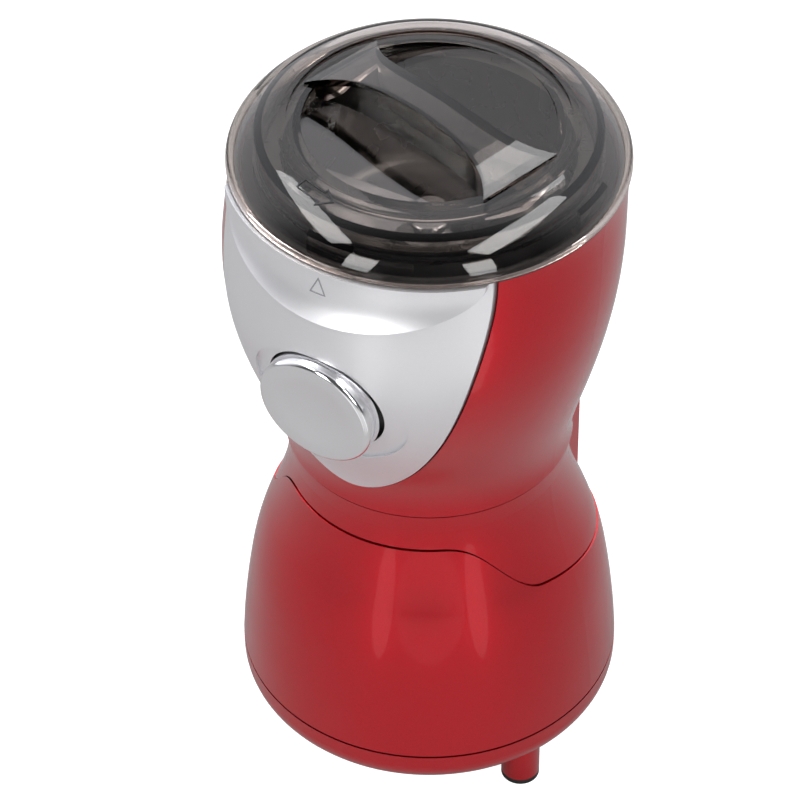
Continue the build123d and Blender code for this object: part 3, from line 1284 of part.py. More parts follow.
PIECES = {
    "upper_housing": upper_housing,
    "front_panel": front_panel,
    "neck_shell": neck_shell,
    "base_skirt": base_skirt,
    "bottom_cover": bottom_cover,
    "foot_front_right": lambda: foot(LEG_ANGLES[0]),
    "foot_rear": lambda: foot(LEG_ANGLES[1]),
    "foot_front_left": lambda: foot(LEG_ANGLES[2]),
    "cover_screws": cover_screws,
    "seam_screws": seam_screws,
    "cord_grommet": cord_grommet,
    "cord_clamp": cord_clamp,
    "clamp_screws": clamp_screws,
    "suppressor_capacitor": suppressor_capacitor,
    "power_button": power_button,
    "button_clip": button_clip,
    "button_spring": button_spring,
    "switch_plunger": switch_plunger,
    "power_switch": power_switch,
    "switch_bracket": switch_bracket,
    "bracket_screws": bracket_screws,
    "bowl_collar": bowl_collar,
    "grinding_bowl": grinding_bowl,
    "shaft_seal": shaft_seal,
    "lid_seal": lid_seal,
    "lid": lid,
    "interlock_pin": interlock_pin,
    "interlock_switch": interlock_switch,
    "motor_shaft": motor_shaft,
    "blade_hub": blade_hub,
    "blade": blade,
    "blade_nut": blade_nut,
    "motor_damper": motor_damper,
    "motor_upper_bracket": motor_upper_bracket,
    "motor_lower_bracket": motor_lower_bracket,
    "upper_bearing": lambda: bearing(PLATE_TOP_Z - BEARING_H),
    "lower_bearing": lambda: bearing(LOWER_BEARING_LOW_Z),
    "motor_screws": motor_screws,
    "motor_bolts": motor_bolts,
    "field_coil_front": lambda: field_coil(-1),
    "field_coil_rear": lambda: field_coil(1),
    "stator_core": stator_core,
    "armature_core": armature_core,
    "armature_winding": armature_winding,
    "commutator": commutator,
    "carbon_brush_front": lambda: carbon_brush(-1),
    "carbon_brush_rear": lambda: carbon_brush(1),
    "brush_holder_front": lambda: brush_holder(-1),
    "brush_holder_rear": lambda: brush_holder(1),
    "brush_spring_front": lambda: brush_spring(-1),
    "brush_spring_rear": lambda: brush_spring(1),
    "cooling_fan": cooling_fan,
}

for name, make in PIECES.items():
    export_step(make(), os.path.join("parts", name + ".step"))
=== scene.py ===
import json
import math

import bmesh
import bpy
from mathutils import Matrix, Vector
from mathutils.bvhtree import BVHTree


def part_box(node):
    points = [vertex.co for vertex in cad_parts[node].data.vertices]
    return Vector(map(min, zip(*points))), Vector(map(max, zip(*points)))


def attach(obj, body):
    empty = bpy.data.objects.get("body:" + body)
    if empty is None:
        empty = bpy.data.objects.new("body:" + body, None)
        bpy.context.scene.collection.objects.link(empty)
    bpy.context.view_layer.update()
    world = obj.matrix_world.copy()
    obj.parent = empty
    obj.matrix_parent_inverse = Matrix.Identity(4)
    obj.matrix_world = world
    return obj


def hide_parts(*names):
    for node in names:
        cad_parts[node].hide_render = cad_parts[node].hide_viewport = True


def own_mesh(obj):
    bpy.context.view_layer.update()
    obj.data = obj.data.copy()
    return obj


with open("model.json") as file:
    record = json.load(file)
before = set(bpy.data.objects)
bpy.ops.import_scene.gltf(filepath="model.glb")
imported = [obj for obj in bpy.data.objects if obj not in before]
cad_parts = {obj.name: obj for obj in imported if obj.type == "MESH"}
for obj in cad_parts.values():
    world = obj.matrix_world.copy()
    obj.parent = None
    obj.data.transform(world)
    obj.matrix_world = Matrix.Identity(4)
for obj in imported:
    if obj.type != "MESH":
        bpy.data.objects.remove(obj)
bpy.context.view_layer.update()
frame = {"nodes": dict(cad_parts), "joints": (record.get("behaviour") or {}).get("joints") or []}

bl_info = {
    "name": "Coffee Grinder Looks",
    "version": (1, 0, 0),
    "blender": (4, 5, 0),
    "location": "View3D > Sidebar > Grinder",
    "description": "Finishes, marks and studio of an electric blade coffee grinder",
    "category": "Object",
}

# Points round one turn of the return spring, and round its wire
COIL_STEPS = 48
WIRE_SIDES = 10

# Where the search for the panel's front and for the lid's top starts
FRONT_START = -0.2
TOP_START = 0.3

# Least share of an outline's shift that counts at a sharp corner
LEAST_MITRE = 0.4

# Sockets of a node that mixes two colours
MIX_FACTOR, MIX_FIRST, MIX_SECOND, MIX_RESULT = 0, 6, 7, 2

# Where the room fades from the backdrop to the camera's side
FADE_START = -0.35
FADE_END = 0.45

# Each softbox: name, turn and rise in degrees, width and height, setting with its power
SOFTBOXES = (
    ("left_box", -6.0, 26.0, (0.26, 0.56), "box_power"),
    ("right_box", 58.0, 26.0, (0.26, 0.56), "box_power"),
    ("left_panel", -62.0, 53.0, (1.00, 0.24), "top_power"),
    ("right_panel", 102.0, 58.0, (0.95, 0.24), "top_power"),
    ("grip_box", 173.0, 56.0, (0.20, 0.16), "grip_power"),
)

# Each front fill: name, turn in degrees, settings with its width and its power
FILLS = (
    ("left_fill", 5.0, "fill_width", "fill_power"),
    ("middle_fill", 31.0, "middle_width", "middle_power"),
    ("right_fill", 58.0, "fill_width", "fill_power"),
)


def number(label, default, description):
    """A plain number."""
    return bpy.props.FloatProperty(name=label, default=default, description=description)


def length(label, default, description):
    """A length in metres, shown in the sidebar."""
    return bpy.props.FloatProperty(
        name=label, default=default, unit="LENGTH", precision=5, description=description
    )


def angle(label, default, description):
    """An angle, given in degrees."""
    return bpy.props.FloatProperty(
        name=label, default=math.radians(default), subtype="ANGLE", description=description
    )


def colour(label, default, description):
    """A linear colour."""
    return bpy.props.FloatVectorProperty(
        name=label, default=default, subtype="COLOR", size=3, min=0.0, max=1.0, description=description
    )


class GrinderSizes(bpy.types.PropertyGroup):
    """Sizes of the marks, edges, spring, rolled band, and of the painted shade in the well, on the rim and
    along the lid's foot.
    """

    mark_sink: length("Mark sink", 0.00015, "How far a mark's foot is sunk into its carrier")
    arrow_radius: length("Arrow radius", 0.0388, "Radius of the lid arrow's middle line")
    arrow_centre: angle("Arrow centre", -12.5, "Lid arrow's middle, from the front towards +X")
    arrow_length: length("Arrow length", 0.0105, "Lid arrow from tail to tip")
    arrow_head: length("Arrow head", 0.0034, "Length of the lid arrow's head")
    arrow_head_width: length("Arrow head width", 0.0046, "Width of the lid arrow's head")
    arrow_shaft_width: length("Arrow shaft width", 0.0026, "Width of the lid arrow's shaft")
    arrow_line: length("Arrow line", 0.00045, "Width of the lid arrow's moulded line")
    arrow_rise: length("Arrow rise", 0.00025, "Height of the lid arrow's moulded line")
    triangle_z: length("Triangle level", 0.1768, "Height of the lock mark's lower side")
    triangle_height: length("Triangle height", 0.0042, "Lock mark from lower side to tip")
    triangle_width: length("Triangle width", 0.0040, "Width of the lock mark's lower side")
    triangle_line: length("Triangle line", 0.00042, "Width of the lock mark's line")
    triangle_rise: length("Triangle rise", 0.00012, "Height of the lock mark's line")
    shell_edge: length("Shell edge", 0.0003, "Softened edge of the painted shells")
    panel_edge: length("Panel edge", 0.00035, "Softened edge of the front panel")
    coil_radius: length("Coil radius", 0.009, "Radius of the return spring's middle line")
    coil_wire: length("Coil wire", 0.00035, "Radius of the return spring's wire")
    coil_length: length("Coil length", 0.0063, "Return spring at rest, along its axis")
    coil_slack: length("Coil slack", 0.0001, "Room left over the spring when the button is down")
    coil_turns: number("Coil turns", 3.5, "Turns of the return spring")
    weld_gap: length("Weld gap", 0.000001, "Corners closer than this count as one")
    trim_edge: length("Trim edge", 0.0002, "Softened edge of the small pieces")
    band_half_width: length("Band half width", 0.0366, "Half width of the panel's rolled band")
    band_drop: length("Band drop", 0.0142, "Height of the rolled band under the rim")
    band_rise: length("Band rise", 0.0026, "How far the band rolls out towards its crease")
    # Painted shade: black painted round and inside the button's well and on the rim's top, where these gaps
    # are in shade
    well_shade_wall: length("Well wall", 0.0012, "Black ring left round the button's well")
    well_shade_depth: length("Well depth", 0.03, "How far behind the button the black of its well reaches")
    rim_shade_depth: length("Rim depth", 0.0004, "How far the black of the rim's top reaches down")
    # Painted shade along the lid's foot, where it meets the body
    foot_shade_height: length("Foot height", 0.0009, "Height of the lid's denser foot above the rim")
    foot_shade_fade: length("Foot fade", 0.0007, "Height over which the lid's foot clears")
    smoke_density: number("Smoke density", 150.0, "Darkening of the lid's plastic, per metre")


class GrinderColours(bpy.types.PropertyGroup):
    """Colours of the finishes."""

    red_deep: colour("Red deep", (0.63, 0.0035, 0.012), "Darker red of the lacquer")
    red_bright: colour("Red bright", (0.81, 0.009, 0.023), "Brighter red of the lacquer's flakes")
    silver_low: colour("Silver low", (0.91, 0.91, 0.935), "Darker silver of the panel")
    silver_high: colour("Silver high", (0.96, 0.96, 0.98), "Brighter silver of the panel")
    chrome_low: colour("Chrome low", (0.95, 0.95, 0.965), "Darker tone of the bright plating")
    chrome_high: colour("Chrome high", (0.98, 0.98, 0.99), "Brighter tone of the bright plating")
    smoke_low: colour("Smoke low", (0.83, 0.815, 0.80), "Denser tone of the lid's skin")
    smoke_high: colour("Smoke high", (0.88, 0.868, 0.855), "Clearer tone of the lid's skin")
    smoke_body: colour("Smoke body", (0.22, 0.09, 0.02), "What the smoked lid lets through in its depth")
    # Painted shade: the foot tone darkens the lid's skin where it meets the body
    smoke_foot_shade: colour("Smoke foot", (0.32, 0.27, 0.25), "Tone of the lid's foot")
    mould_low: colour("Mould low", (0.016, 0.016, 0.018), "Darker tone of the lid's moulded arrow")
    mould_high: colour("Mould high", (0.032, 0.032, 0.035), "Lighter tone of the lid's moulded arrow")
    rubber_low: colour("Rubber low", (0.012, 0.012, 0.012), "Darker tone of the rubber")
    rubber_high: colour("Rubber high", (0.026, 0.026, 0.026), "Worn tone of the rubber")
    black_low: colour("Black low", (0.010, 0.010, 0.011), "Darker tone of the black plastic")
    black_high: colour("Black high", (0.020, 0.020, 0.022), "Brighter tone of the black plastic")
    white_low: colour("White low", (0.70, 0.69, 0.66), "Darker tone of the white plastic")
    white_high: colour("White high", (0.78, 0.77, 0.74), "Brighter tone of the white plastic")
    yellow_low: colour("Yellow low", (0.62, 0.42, 0.05), "Darker tone of the capacitor")
    yellow_high: colour("Yellow high", (0.74, 0.54, 0.09), "Brighter tone of the capacitor")
    steel_low: colour("Steel low", (0.44, 0.44, 0.45), "Darker tone of the steel")
    steel_high: colour("Steel high", (0.62, 0.62, 0.63), "Brighter tone of the steel")
    # Painted shade: the bowl's steel is made dark to stand in for the shade inside the lid
    bowl_shade_low: colour("Bowl low", (0.075, 0.073, 0.07), "Darker tone of the bowl")
    bowl_shade_high: colour("Bowl high", (0.12, 0.117, 0.113), "Brighter tone of the bowl")
    cast_low: colour("Cast low", (0.40, 0.40, 0.41), "Darker tone of the die casting")
    cast_high: colour("Cast high", (0.56, 0.56, 0.57), "Brighter tone of the die casting")
    bronze_low: colour("Bronze low", (0.42, 0.26, 0.09), "Darker tone of the sintered bronze")
    bronze_high: colour("Bronze high", (0.56, 0.37, 0.14), "Brighter tone of the sintered bronze")
    core_low: colour("Core low", (0.13, 0.13, 0.14), "Darker tone of the laminations")
    core_high: colour("Core high", (0.26, 0.26, 0.27), "Brighter tone of the laminations")
    copper_low: colour("Copper low", (0.40, 0.13, 0.045), "Darker tone of the winding wire")
    copper_high: colour("Copper high", (0.66, 0.26, 0.10), "Brighter tone of the winding wire")
    carbon_low: colour("Carbon low", (0.018, 0.018, 0.019), "Darker tone of the carbon")
    carbon_high: colour("Carbon high", (0.045, 0.045, 0.047), "Brighter tone of the carbon")
    mark_low: colour("Mark low", (0.30, 0.30, 0.32), "Darker tone of the lock mark")
    mark_high: colour("Mark high", (0.38, 0.38, 0.40), "Brighter tone of the lock mark")
    floor_low: colour("Floor low", (0.36, 0.36, 0.36), "Darker tone of the floor")
    floor_high: colour("Floor high", (0.40, 0.40, 0.40), "Brighter tone of the floor")


class StudioSettings(bpy.types.PropertyGroup):
    """Camera, room, lights and floor."""

    target_z: length("Target level", 0.102, "Height of the point the camera looks at")
    distance: length("Distance", 1.0, "Camera's distance from that point")
    azimuth: angle("Azimuth", 31.0, "Camera's turn round the object from the front towards +X")
    elevation: angle("Elevation", 42.634, "Camera's height above the horizon")
    lens: number("Lens", 174.65, "Focal length in millimetres")
    shift_x: number("Sideways shift", -0.0366, "Sideways shift of the frame")
    room_tint: colour("Room tint", (0.95, 0.955, 1.0), "Tint of the room's light")
    near_room: number("Near room", 0.07, "Brightness of the room on the camera's side")
    far_room: number("Far room", 0.45, "Light of the white backdrop")
    mirrored_room: number("Mirrored room", 1.25, "Brightness of the backdrop in reflections")
    backdrop: number("Backdrop", 1.05, "Brightness of the background as seen")
    box_power: number("Box power", 3.0, "Watts of each front softbox")
    top_power: number("Top power", 5.0, "Watts of each overhead panel")
    grip_power: number("Grip power", 0.5, "Power of the small light behind the grip")
    light_distance: length("Light distance", 1.1, "Distance of the lights")
    floor_glow: number("Floor glow", 0.05, "Light of the floor itself")
    through_glow: number("Through glow", 0.6, "Light of the floor seen through the lid")
    fill_power: number("Fill power", 0.022, "Watts of each slanting front fill")
    fill_width: length("Fill width", 0.055, "Width of each front fill")
    middle_power: number("Middle power", 0.03, "Power of the low light in the middle")
    middle_width: length("Middle width", 0.2, "Width of the low light in the middle")
    fill_near: length("Fill near", 0.17, "Distance of a front fill's foot from the motor axis")
    fill_far: length("Fill far", 0.45, "Distance of a front fill's top from the motor axis")
    fill_height: length("Fill height", 0.25, "Height of a front fill's top")
    floor_size: length("Floor size", 6.0, "Side of the floor")


def props():
    """The three groups of settings."""
    scene = bpy.context.scene
    return scene.grinder_sizes, scene.grinder_colours, scene.grinder_studio


# What the frame says

def press_joint():
    """The joint along which the button is pressed."""
    return next(joint for joint in frame["joints"] if joint["child"] == "power_button")


def rim_z():
    """Height of the upper housing's rim."""
    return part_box("upper_housing")[1][2]


# Shader nodes

def added(tree, kind, **settings):
    """A new shader node with its settings, such as its operation."""
    made = tree.nodes.new("ShaderNode" + kind)
    for setting, value in settings.items():
        setattr(made, setting, value)
    return made


def set_inputs(node, **values):
    """Sets a node's sockets; an underscore stands for the space in a socket's name."""
    for socket, value in values.items():
        node.inputs[socket.replace("_", " ")].default_value = value


def object_point(tree):
    """The shaded point's three coordinates, in object space."""
    place = added(tree, "TexCoord")
    split = added(tree, "SeparateXYZ")
    tree.links.new(place.outputs["Object"], split.inputs["Vector"])
    return split.outputs


def group_tree(name, inputs, outputs):
    """An empty shader group with the named float, colour or vector sockets."""
    tree = bpy.data.node_groups.new(name, "ShaderNodeTree")
    for socket, kind, default in inputs:
        made = tree.interface.new_socket(socket, in_out="INPUT", socket_type=kind)
        made.default_value = default
    for socket, kind in outputs:
        tree.interface.new_socket(socket, in_out="OUTPUT", socket_type=kind)
    return tree, tree.nodes.new("NodeGroupInput"), tree.nodes.new("NodeGroupOutput")


def grouped(tree, name, maker, **values):
    """A node with a shader group, which is made the first time it is asked for."""
    made = added(tree, "Group")
    made.node_tree = bpy.data.node_groups.get(name) or maker()
    set_inputs(made, **values)
    return made


def tone_group():
    """Two tones and two roughnesses mixed by soft cloudy noise in object space."""
    tree, source, sink = group_tree(
        "cloudy_tone",
        (
            ("Low", "NodeSocketColor", (0.5, 0.5, 0.5, 1.0)),
            ("High", "NodeSocketColor", (0.6, 0.6, 0.6, 1.0)),
            ("Scale", "NodeSocketFloat", 60.0),
            ("Smooth", "NodeSocketFloat", 0.3),
            ("Rough", "NodeSocketFloat", 0.4),
        ),
        (("Colour", "NodeSocketColor"), ("Roughness", "NodeSocketFloat")),
    )
    place = added(tree, "TexCoord")
    noise = added(tree, "TexNoise")
    noise.inputs["Detail"].default_value = 4.0
    tones = added(tree, "Mix", data_type="RGBA")
    rough = added(tree, "MapRange")
    link = tree.links.new
    link(place.outputs["Object"], noise.inputs["Vector"])
    link(source.outputs["Scale"], noise.inputs["Scale"])
    link(noise.outputs["Fac"], tones.inputs[MIX_FACTOR])
    link(source.outputs["Low"], tones.inputs[MIX_FIRST])
    link(source.outputs["High"], tones.inputs[MIX_SECOND])
    link(noise.outputs["Fac"], rough.inputs["Value"])
    link(source.outputs["Smooth"], rough.inputs["To Min"])
    link(source.outputs["Rough"], rough.inputs["To Max"])
    link(tones.outputs[MIX_RESULT], sink.inputs["Colour"])
    link(rough.outputs["Result"], sink.inputs["Roughness"])
    return tree


def grain_group():
    """A fine moulded or sprayed grain as a bumped normal."""
    tree, source, sink = group_tree(
        "fine_grain",
        (
            ("Scale", "NodeSocketFloat", 2000.0),
            ("Strength", "NodeSocketFloat", 0.1),
            ("Depth", "NodeSocketFloat", 0.0001),
        ),
        (("Normal", "NodeSocketVector"),),
    )
    place = added(tree, "TexCoord")
    noise = added(tree, "TexNoise")
    noise.inputs["Detail"].default_value = 2.0
    bump = added(tree, "Bump")
    link = tree.links.new
    link(place.outputs["Object"], noise.inputs["Vector"])
    link(source.outputs["Scale"], noise.inputs["Scale"])
    link(noise.outputs["Fac"], bump.inputs["Height"])
    link(source.outputs["Strength"], bump.inputs["Strength"])
    link(source.outputs["Depth"], bump.inputs["Distance"])
    link(bump.outputs["Normal"], sink.inputs["Normal"])
    return tree


def brushed_group():
    """Turned or brushed streaks that run round the vertical axis."""
    tree, source, sink = group_tree(
        "turned_streaks",
        (("Rings", "NodeSocketFloat", 1500.0), ("Strength", "NodeSocketFloat", 0.15)),
        (("Normal", "NodeSocketVector"),),
    )
    point = object_point(tree)
    flat = added(tree, "CombineXYZ")
    reach = added(tree, "VectorMath", operation="LENGTH")
    join = added(tree, "CombineXYZ")
    noise = added(tree, "TexNoise")
    noise.inputs["Detail"].default_value = 3.0
    bump = added(tree, "Bump")
    bump.inputs["Distance"].default_value = 0.00005
    link = tree.links.new
    link(point["X"], flat.inputs["X"])
    link(point["Y"], flat.inputs["Y"])
    link(flat.outputs["Vector"], reach.inputs[0])
    link(reach.outputs["Value"], join.inputs["X"])
    link(point["Z"], join.inputs["Z"])
    link(join.outputs["Vector"], noise.inputs["Vector"])
    link(source.outputs["Rings"], noise.inputs["Scale"])
    link(noise.outputs["Fac"], bump.inputs["Height"])
    link(source.outputs["Strength"], bump.inputs["Strength"])
    link(bump.outputs["Normal"], sink.inputs["Normal"])
    return tree


def band_group():
    """A band under the rim that rolls out towards a sagging crease, as a bumped normal."""
    tree, source, sink = group_tree(
        "rolled_band",
        (
            ("Half Width", "NodeSocketFloat", 0.04),
            ("Drop", "NodeSocketFloat", 0.01),
            ("Rim", "NodeSocketFloat", 0.18),
            ("Rise", "NodeSocketFloat", 0.002),
            ("Grain", "NodeSocketVector", (0, 0, 0)),
        ),
        (("Normal", "NodeSocketVector"),),
    )
    point = object_point(tree)
    across = added(tree, "Math", operation="DIVIDE")
    below = added(tree, "Math", operation="SUBTRACT")
    down = added(tree, "Math", operation="DIVIDE")
    join = added(tree, "CombineXYZ")
    reach = added(tree, "VectorMath", operation="LENGTH")
    stop = added(tree, "Math", operation="MINIMUM")
    stop.inputs[1].default_value = 1.0
    roll = added(tree, "Math", operation="POWER")
    roll.inputs[1].default_value = 3.0
    bump = added(tree, "Bump")
    link = tree.links.new
    link(point["X"], across.inputs[0])
    link(source.outputs["Half Width"], across.inputs[1])
    link(source.outputs["Rim"], below.inputs[0])
    link(point["Z"], below.inputs[1])
    link(below.outputs["Value"], down.inputs[0])
    link(source.outputs["Drop"], down.inputs[1])
    link(across.outputs["Value"], join.inputs["X"])
    link(down.outputs["Value"], join.inputs["Y"])
    link(join.outputs["Vector"], reach.inputs[0])
    link(reach.outputs["Value"], stop.inputs[0])
    link(stop.outputs["Value"], roll.inputs[0])
    link(roll.outputs["Value"], bump.inputs["Height"])
    link(source.outputs["Rise"], bump.inputs["Distance"])
    link(source.outputs["Grain"], bump.inputs["Normal"])
    link(bump.outputs["Normal"], sink.inputs["Normal"])
    return tree


def near_axis(tree, point, axis, radius, depth):
    """One within a radius of a line, as far along it as a depth, and nought elsewhere."""
    place = added(tree, "TexCoord")
    apart = added(tree, "VectorMath", operation="SUBTRACT")
    apart.inputs[1].default_value = point
    cross = added(tree, "VectorMath", operation="CROSS_PRODUCT")
    cross.inputs[1].default_value = axis
    reach = added(tree, "VectorMath", operation="LENGTH")
    near = added(tree, "Math", operation="LESS_THAN")
    near.inputs[1].default_value = radius
    run = added(tree, "VectorMath", operation="DOT_PRODUCT")
    run.inputs[1].default_value = axis
    before = added(tree, "Math", operation="LESS_THAN")
    before.inputs[1].default_value = depth
    both = added(tree, "Math", operation="MINIMUM")
    link = tree.links.new
    link(place.outputs["Object"], apart.inputs[0])
    link(apart.outputs["Vector"], cross.inputs[0])
    link(cross.outputs["Vector"], reach.inputs[0])
    link(reach.outputs["Value"], near.inputs[0])
    link(apart.outputs["Vector"], run.inputs[0])
    link(run.outputs["Value"], before.inputs[0])
    link(near.outputs["Value"], both.inputs[0])
    link(before.outputs["Value"], both.inputs[1])
    return both.outputs["Value"]


# Finishes

def finish(name, low, high, scale, smooth, rough, grain=None, **sockets):
    """Two cloudy tones under a grain of a scale and strength; sockets are the shader's own constants."""
    made = bpy.data.materials.get(name)
    if made:
        return made
    made = bpy.data.materials.new(name)
    made.use_nodes = True
    tree = made.node_tree
    shader = tree.nodes["Principled BSDF"]
    tone = grouped(tree, "cloudy_tone", tone_group, Low=(*low, 1.0), High=(*high, 1.0),
                   Scale=scale, Smooth=smooth, Rough=rough)
    tree.links.new(tone.outputs["Colour"], shader.inputs["Base Color"])
    tree.links.new(tone.outputs["Roughness"], shader.inputs["Roughness"])
    if grain:
        fineness, strength = grain
        skin = grouped(tree, "fine_grain", grain_group, Scale=fineness, Strength=strength)
        tree.links.new(skin.outputs["Normal"], shader.inputs["Normal"])
    set_inputs(shader, **sockets)
    return made


def turned(name, low, high, scale, smooth, rough, rings, strength):
    """A metal with streaks that run round the vertical axis."""
    made = finish(name, low, high, scale, smooth, rough, Metallic=1.0)
    tree = made.node_tree
    if "streaks" in tree.nodes:
        return made
    streaks = grouped(tree, "turned_streaks", brushed_group, Rings=rings, Strength=strength)
    streaks.name = "streaks"
    tree.links.new(streaks.outputs["Normal"], tree.nodes["Principled BSDF"].inputs["Normal"])
    return made


def lined(made, scale, distortion, strength, depth):
    """Fine level lines, bumped into a finish."""
    tree = made.node_tree
    if "lines" in tree.nodes:
        return made
    place = added(tree, "TexCoord")
    lines = added(tree, "TexWave", name="lines", bands_direction="Z")
    set_inputs(lines, Scale=scale, Distortion=distortion)
    bump = added(tree, "Bump")
    set_inputs(bump, Strength=strength, Distance=depth)
    tree.links.new(place.outputs["Object"], lines.inputs["Vector"])
    tree.links.new(lines.outputs["Fac"], bump.inputs["Height"])
    tree.links.new(bump.outputs["Normal"], tree.nodes["Principled BSDF"].inputs["Normal"])
    return made


def red_lacquer():
    """Red metallic lacquer: fine flakes under a clear gloss coat."""
    colours = props()[1]
    return finish("red_lacquer", colours.red_deep, colours.red_bright,
                  scale=2600.0, smooth=0.30, rough=0.36, grain=(5200.0, 0.06),
                  Metallic=1.0, Coat_Weight=1.0, Coat_Roughness=0.04, Coat_IOR=1.45)


def red_with_black_well():
    """The red lacquer, with black painted into the button's well and onto the rim's top under the lid as
    painted shade in these gaps.
    """
    sizes, colours = props()[:2]
    made = bpy.data.materials.get("red_with_black_well")
    if made:
        return made
    made = red_lacquer().copy()
    made.name = "red_with_black_well"
    tree = made.node_tree
    nodes, link = tree.nodes, tree.links.new
    low, high = (Vector(corner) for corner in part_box("power_button"))
    # Painted shade: a black mask over the button's well and the rim's top stands in for the shade in these
    # gaps
    well = (high.x - low.x) / 2 + sizes.well_shade_wall
    near = near_axis(tree, (low + high) / 2, press_joint()["axis"], well, sizes.well_shade_depth)
    top = added(tree, "Math", operation="GREATER_THAN")
    top.inputs[1].default_value = rim_z() - sizes.rim_shade_depth
    shade_mask = added(tree, "Math", operation="MAXIMUM")
    link(object_point(tree)["Z"], top.inputs[0])
    link(top.outputs["Value"], shade_mask.inputs[0])
    link(near, shade_mask.inputs[1])
    shade_tone = grouped(tree, "cloudy_tone", tone_group,
                   Low=(*colours.black_low, 1.0), High=(*colours.black_high, 1.0))
    plastic = added(tree, "BsdfPrincipled")
    pick = added(tree, "MixShader")
    link(shade_tone.outputs["Colour"], plastic.inputs["Base Color"])
    link(shade_tone.outputs["Roughness"], plastic.inputs["Roughness"])
    link(shade_mask.outputs["Value"], pick.inputs["Fac"])
    link(nodes["Principled BSDF"].outputs["BSDF"], pick.inputs[1])
    link(plastic.outputs["BSDF"], pick.inputs[2])
    link(pick.outputs["Shader"], nodes["Material Output"].inputs["Surface"])
    return made


def silver_lacquer():
    """Satin silver paint with a fine flake, on a panel with a rolled band under the rim."""
    sizes, colours = props()[:2]
    made = finish("silver_lacquer", colours.silver_low, colours.silver_high,
                  scale=2200.0, smooth=0.34, rough=0.42, grain=(4200.0, 0.05),
                  Metallic=0.85, Coat_Weight=0.25, Coat_Roughness=0.15)
    tree = made.node_tree
    if "band" in tree.nodes:
        return made
    normal = tree.nodes["Principled BSDF"].inputs["Normal"]
    band = grouped(tree, "rolled_band", band_group, Half_Width=sizes.band_half_width,
                   Drop=sizes.band_drop, Rim=rim_z(), Rise=sizes.band_rise)
    band.name = "band"
    tree.links.new(normal.links[0].from_socket, band.inputs["Grain"])
    tree.links.new(band.outputs["Normal"], normal)
    return made


def bright_plating():
    """Bright plating on the button, with faint polishing waves."""
    colours = props()[1]
    return finish("bright_plating", colours.chrome_low, colours.chrome_high,
                  scale=90.0, smooth=0.10, rough=0.16, grain=(500.0, 0.02), Metallic=1.0)


def smoked_plastic():
    """Clear smoked plastic, with painted shade darkening it along the lid's foot."""
    sizes, colours = props()[:2]
    made = finish("smoked_plastic", colours.smoke_low, colours.smoke_high,
                  scale=30.0, smooth=0.015, rough=0.03, Transmission_Weight=1.0, IOR=1.49)
    tree = made.node_tree
    nodes, link = tree.nodes, tree.links.new
    if "depth" in nodes:
        return made
    depth = added(tree, "VolumeAbsorption", name="depth")
    set_inputs(depth, Color=(*colours.smoke_body, 1.0), Density=sizes.smoke_density)
    link(depth.outputs["Volume"], nodes["Material Output"].inputs["Volume"])
    skin = nodes["Principled BSDF"].inputs["Base Color"]
    # Painted shade: the skin's colour darkens to the foot tone near the rim, where the lid meets the body
    start = rim_z() + sizes.foot_shade_height
    foot = added(tree, "MapRange")
    set_inputs(foot, From_Min=start, From_Max=start + sizes.foot_shade_fade, To_Min=1.0, To_Max=0.0)
    darker = added(tree, "Mix", data_type="RGBA")
    darker.inputs[MIX_SECOND].default_value = (*colours.smoke_foot_shade, 1.0)
    link(object_point(tree)["Z"], foot.inputs["Value"])
    link(foot.outputs["Result"], darker.inputs[MIX_FACTOR])
    link(skin.links[0].from_socket, darker.inputs[MIX_FIRST])
    link(darker.outputs[MIX_RESULT], skin)
    return made


def mould_line():
    """Frosted line moulded on the lid."""
    colours = props()[1]
    return finish("mould_line", colours.mould_low, colours.mould_high,
                  scale=900.0, smooth=0.38, rough=0.55, grain=(2600.0, 0.1))


def black_rubber():
    """Matt rubber with a fine moulded grain."""
    colours = props()[1]
    return finish("black_rubber", colours.rubber_low, colours.rubber_high,
                  scale=300.0, smooth=0.6, rough=0.8, grain=(2500.0, 0.2))


def black_plastic():
    """Satin black plastic."""
    colours = props()[1]
    return finish("black_plastic", colours.black_low, colours.black_high,
                  scale=200.0, smooth=0.32, rough=0.45, grain=(1800.0, 0.08))


def white_plastic():
    """Satin white plastic."""
    colours = props()[1]
    return finish("white_plastic", colours.white_low, colours.white_high,
                  scale=150.0, smooth=0.35, rough=0.5, grain=(1500.0, 0.06))


def yellow_plastic():
    """Yellow capacitor case."""
    colours = props()[1]
    return finish("yellow_plastic", colours.yellow_low, colours.yellow_high,
                  scale=180.0, smooth=0.4, rough=0.55, grain=(1500.0, 0.08))


def turned_steel():
    """Steel with turned streaks."""
    colours = props()[1]
    return turned("turned_steel", colours.steel_low, colours.steel_high,
                  scale=120.0, smooth=0.18, rough=0.30, rings=2200.0, strength=0.18)


def bowl_steel():
    """Steel of the grinding bowl, painted dark as painted shade under the lid, with turned streaks."""
    colours = props()[1]
    return turned("bowl_steel", colours.bowl_shade_low, colours.bowl_shade_high,
                  scale=90.0, smooth=0.22, rough=0.34, rings=1800.0, strength=0.2)


def die_casting():
    """Grainy aluminium casting."""
    colours = props()[1]
    return finish("die_casting", colours.cast_low, colours.cast_high,
                  scale=140.0, smooth=0.42, rough=0.6, grain=(900.0, 0.2), Metallic=1.0)


def sintered_bronze():
    """Porous sintered bronze."""
    colours = props()[1]
    return finish("sintered_bronze", colours.bronze_low, colours.bronze_high,
                  scale=900.0, smooth=0.35, rough=0.55, grain=(3500.0, 0.3), Metallic=1.0)


def lamination_steel():
    """Stacked sheet steel, seen as fine level lines."""
    colours = props()[1]
    made = finish("lamination_steel", colours.core_low, colours.core_high,
                  scale=160.0, smooth=0.4, rough=0.6, Metallic=0.9)
    return lined(made, scale=600.0, distortion=0.0, strength=0.4, depth=0.0001)


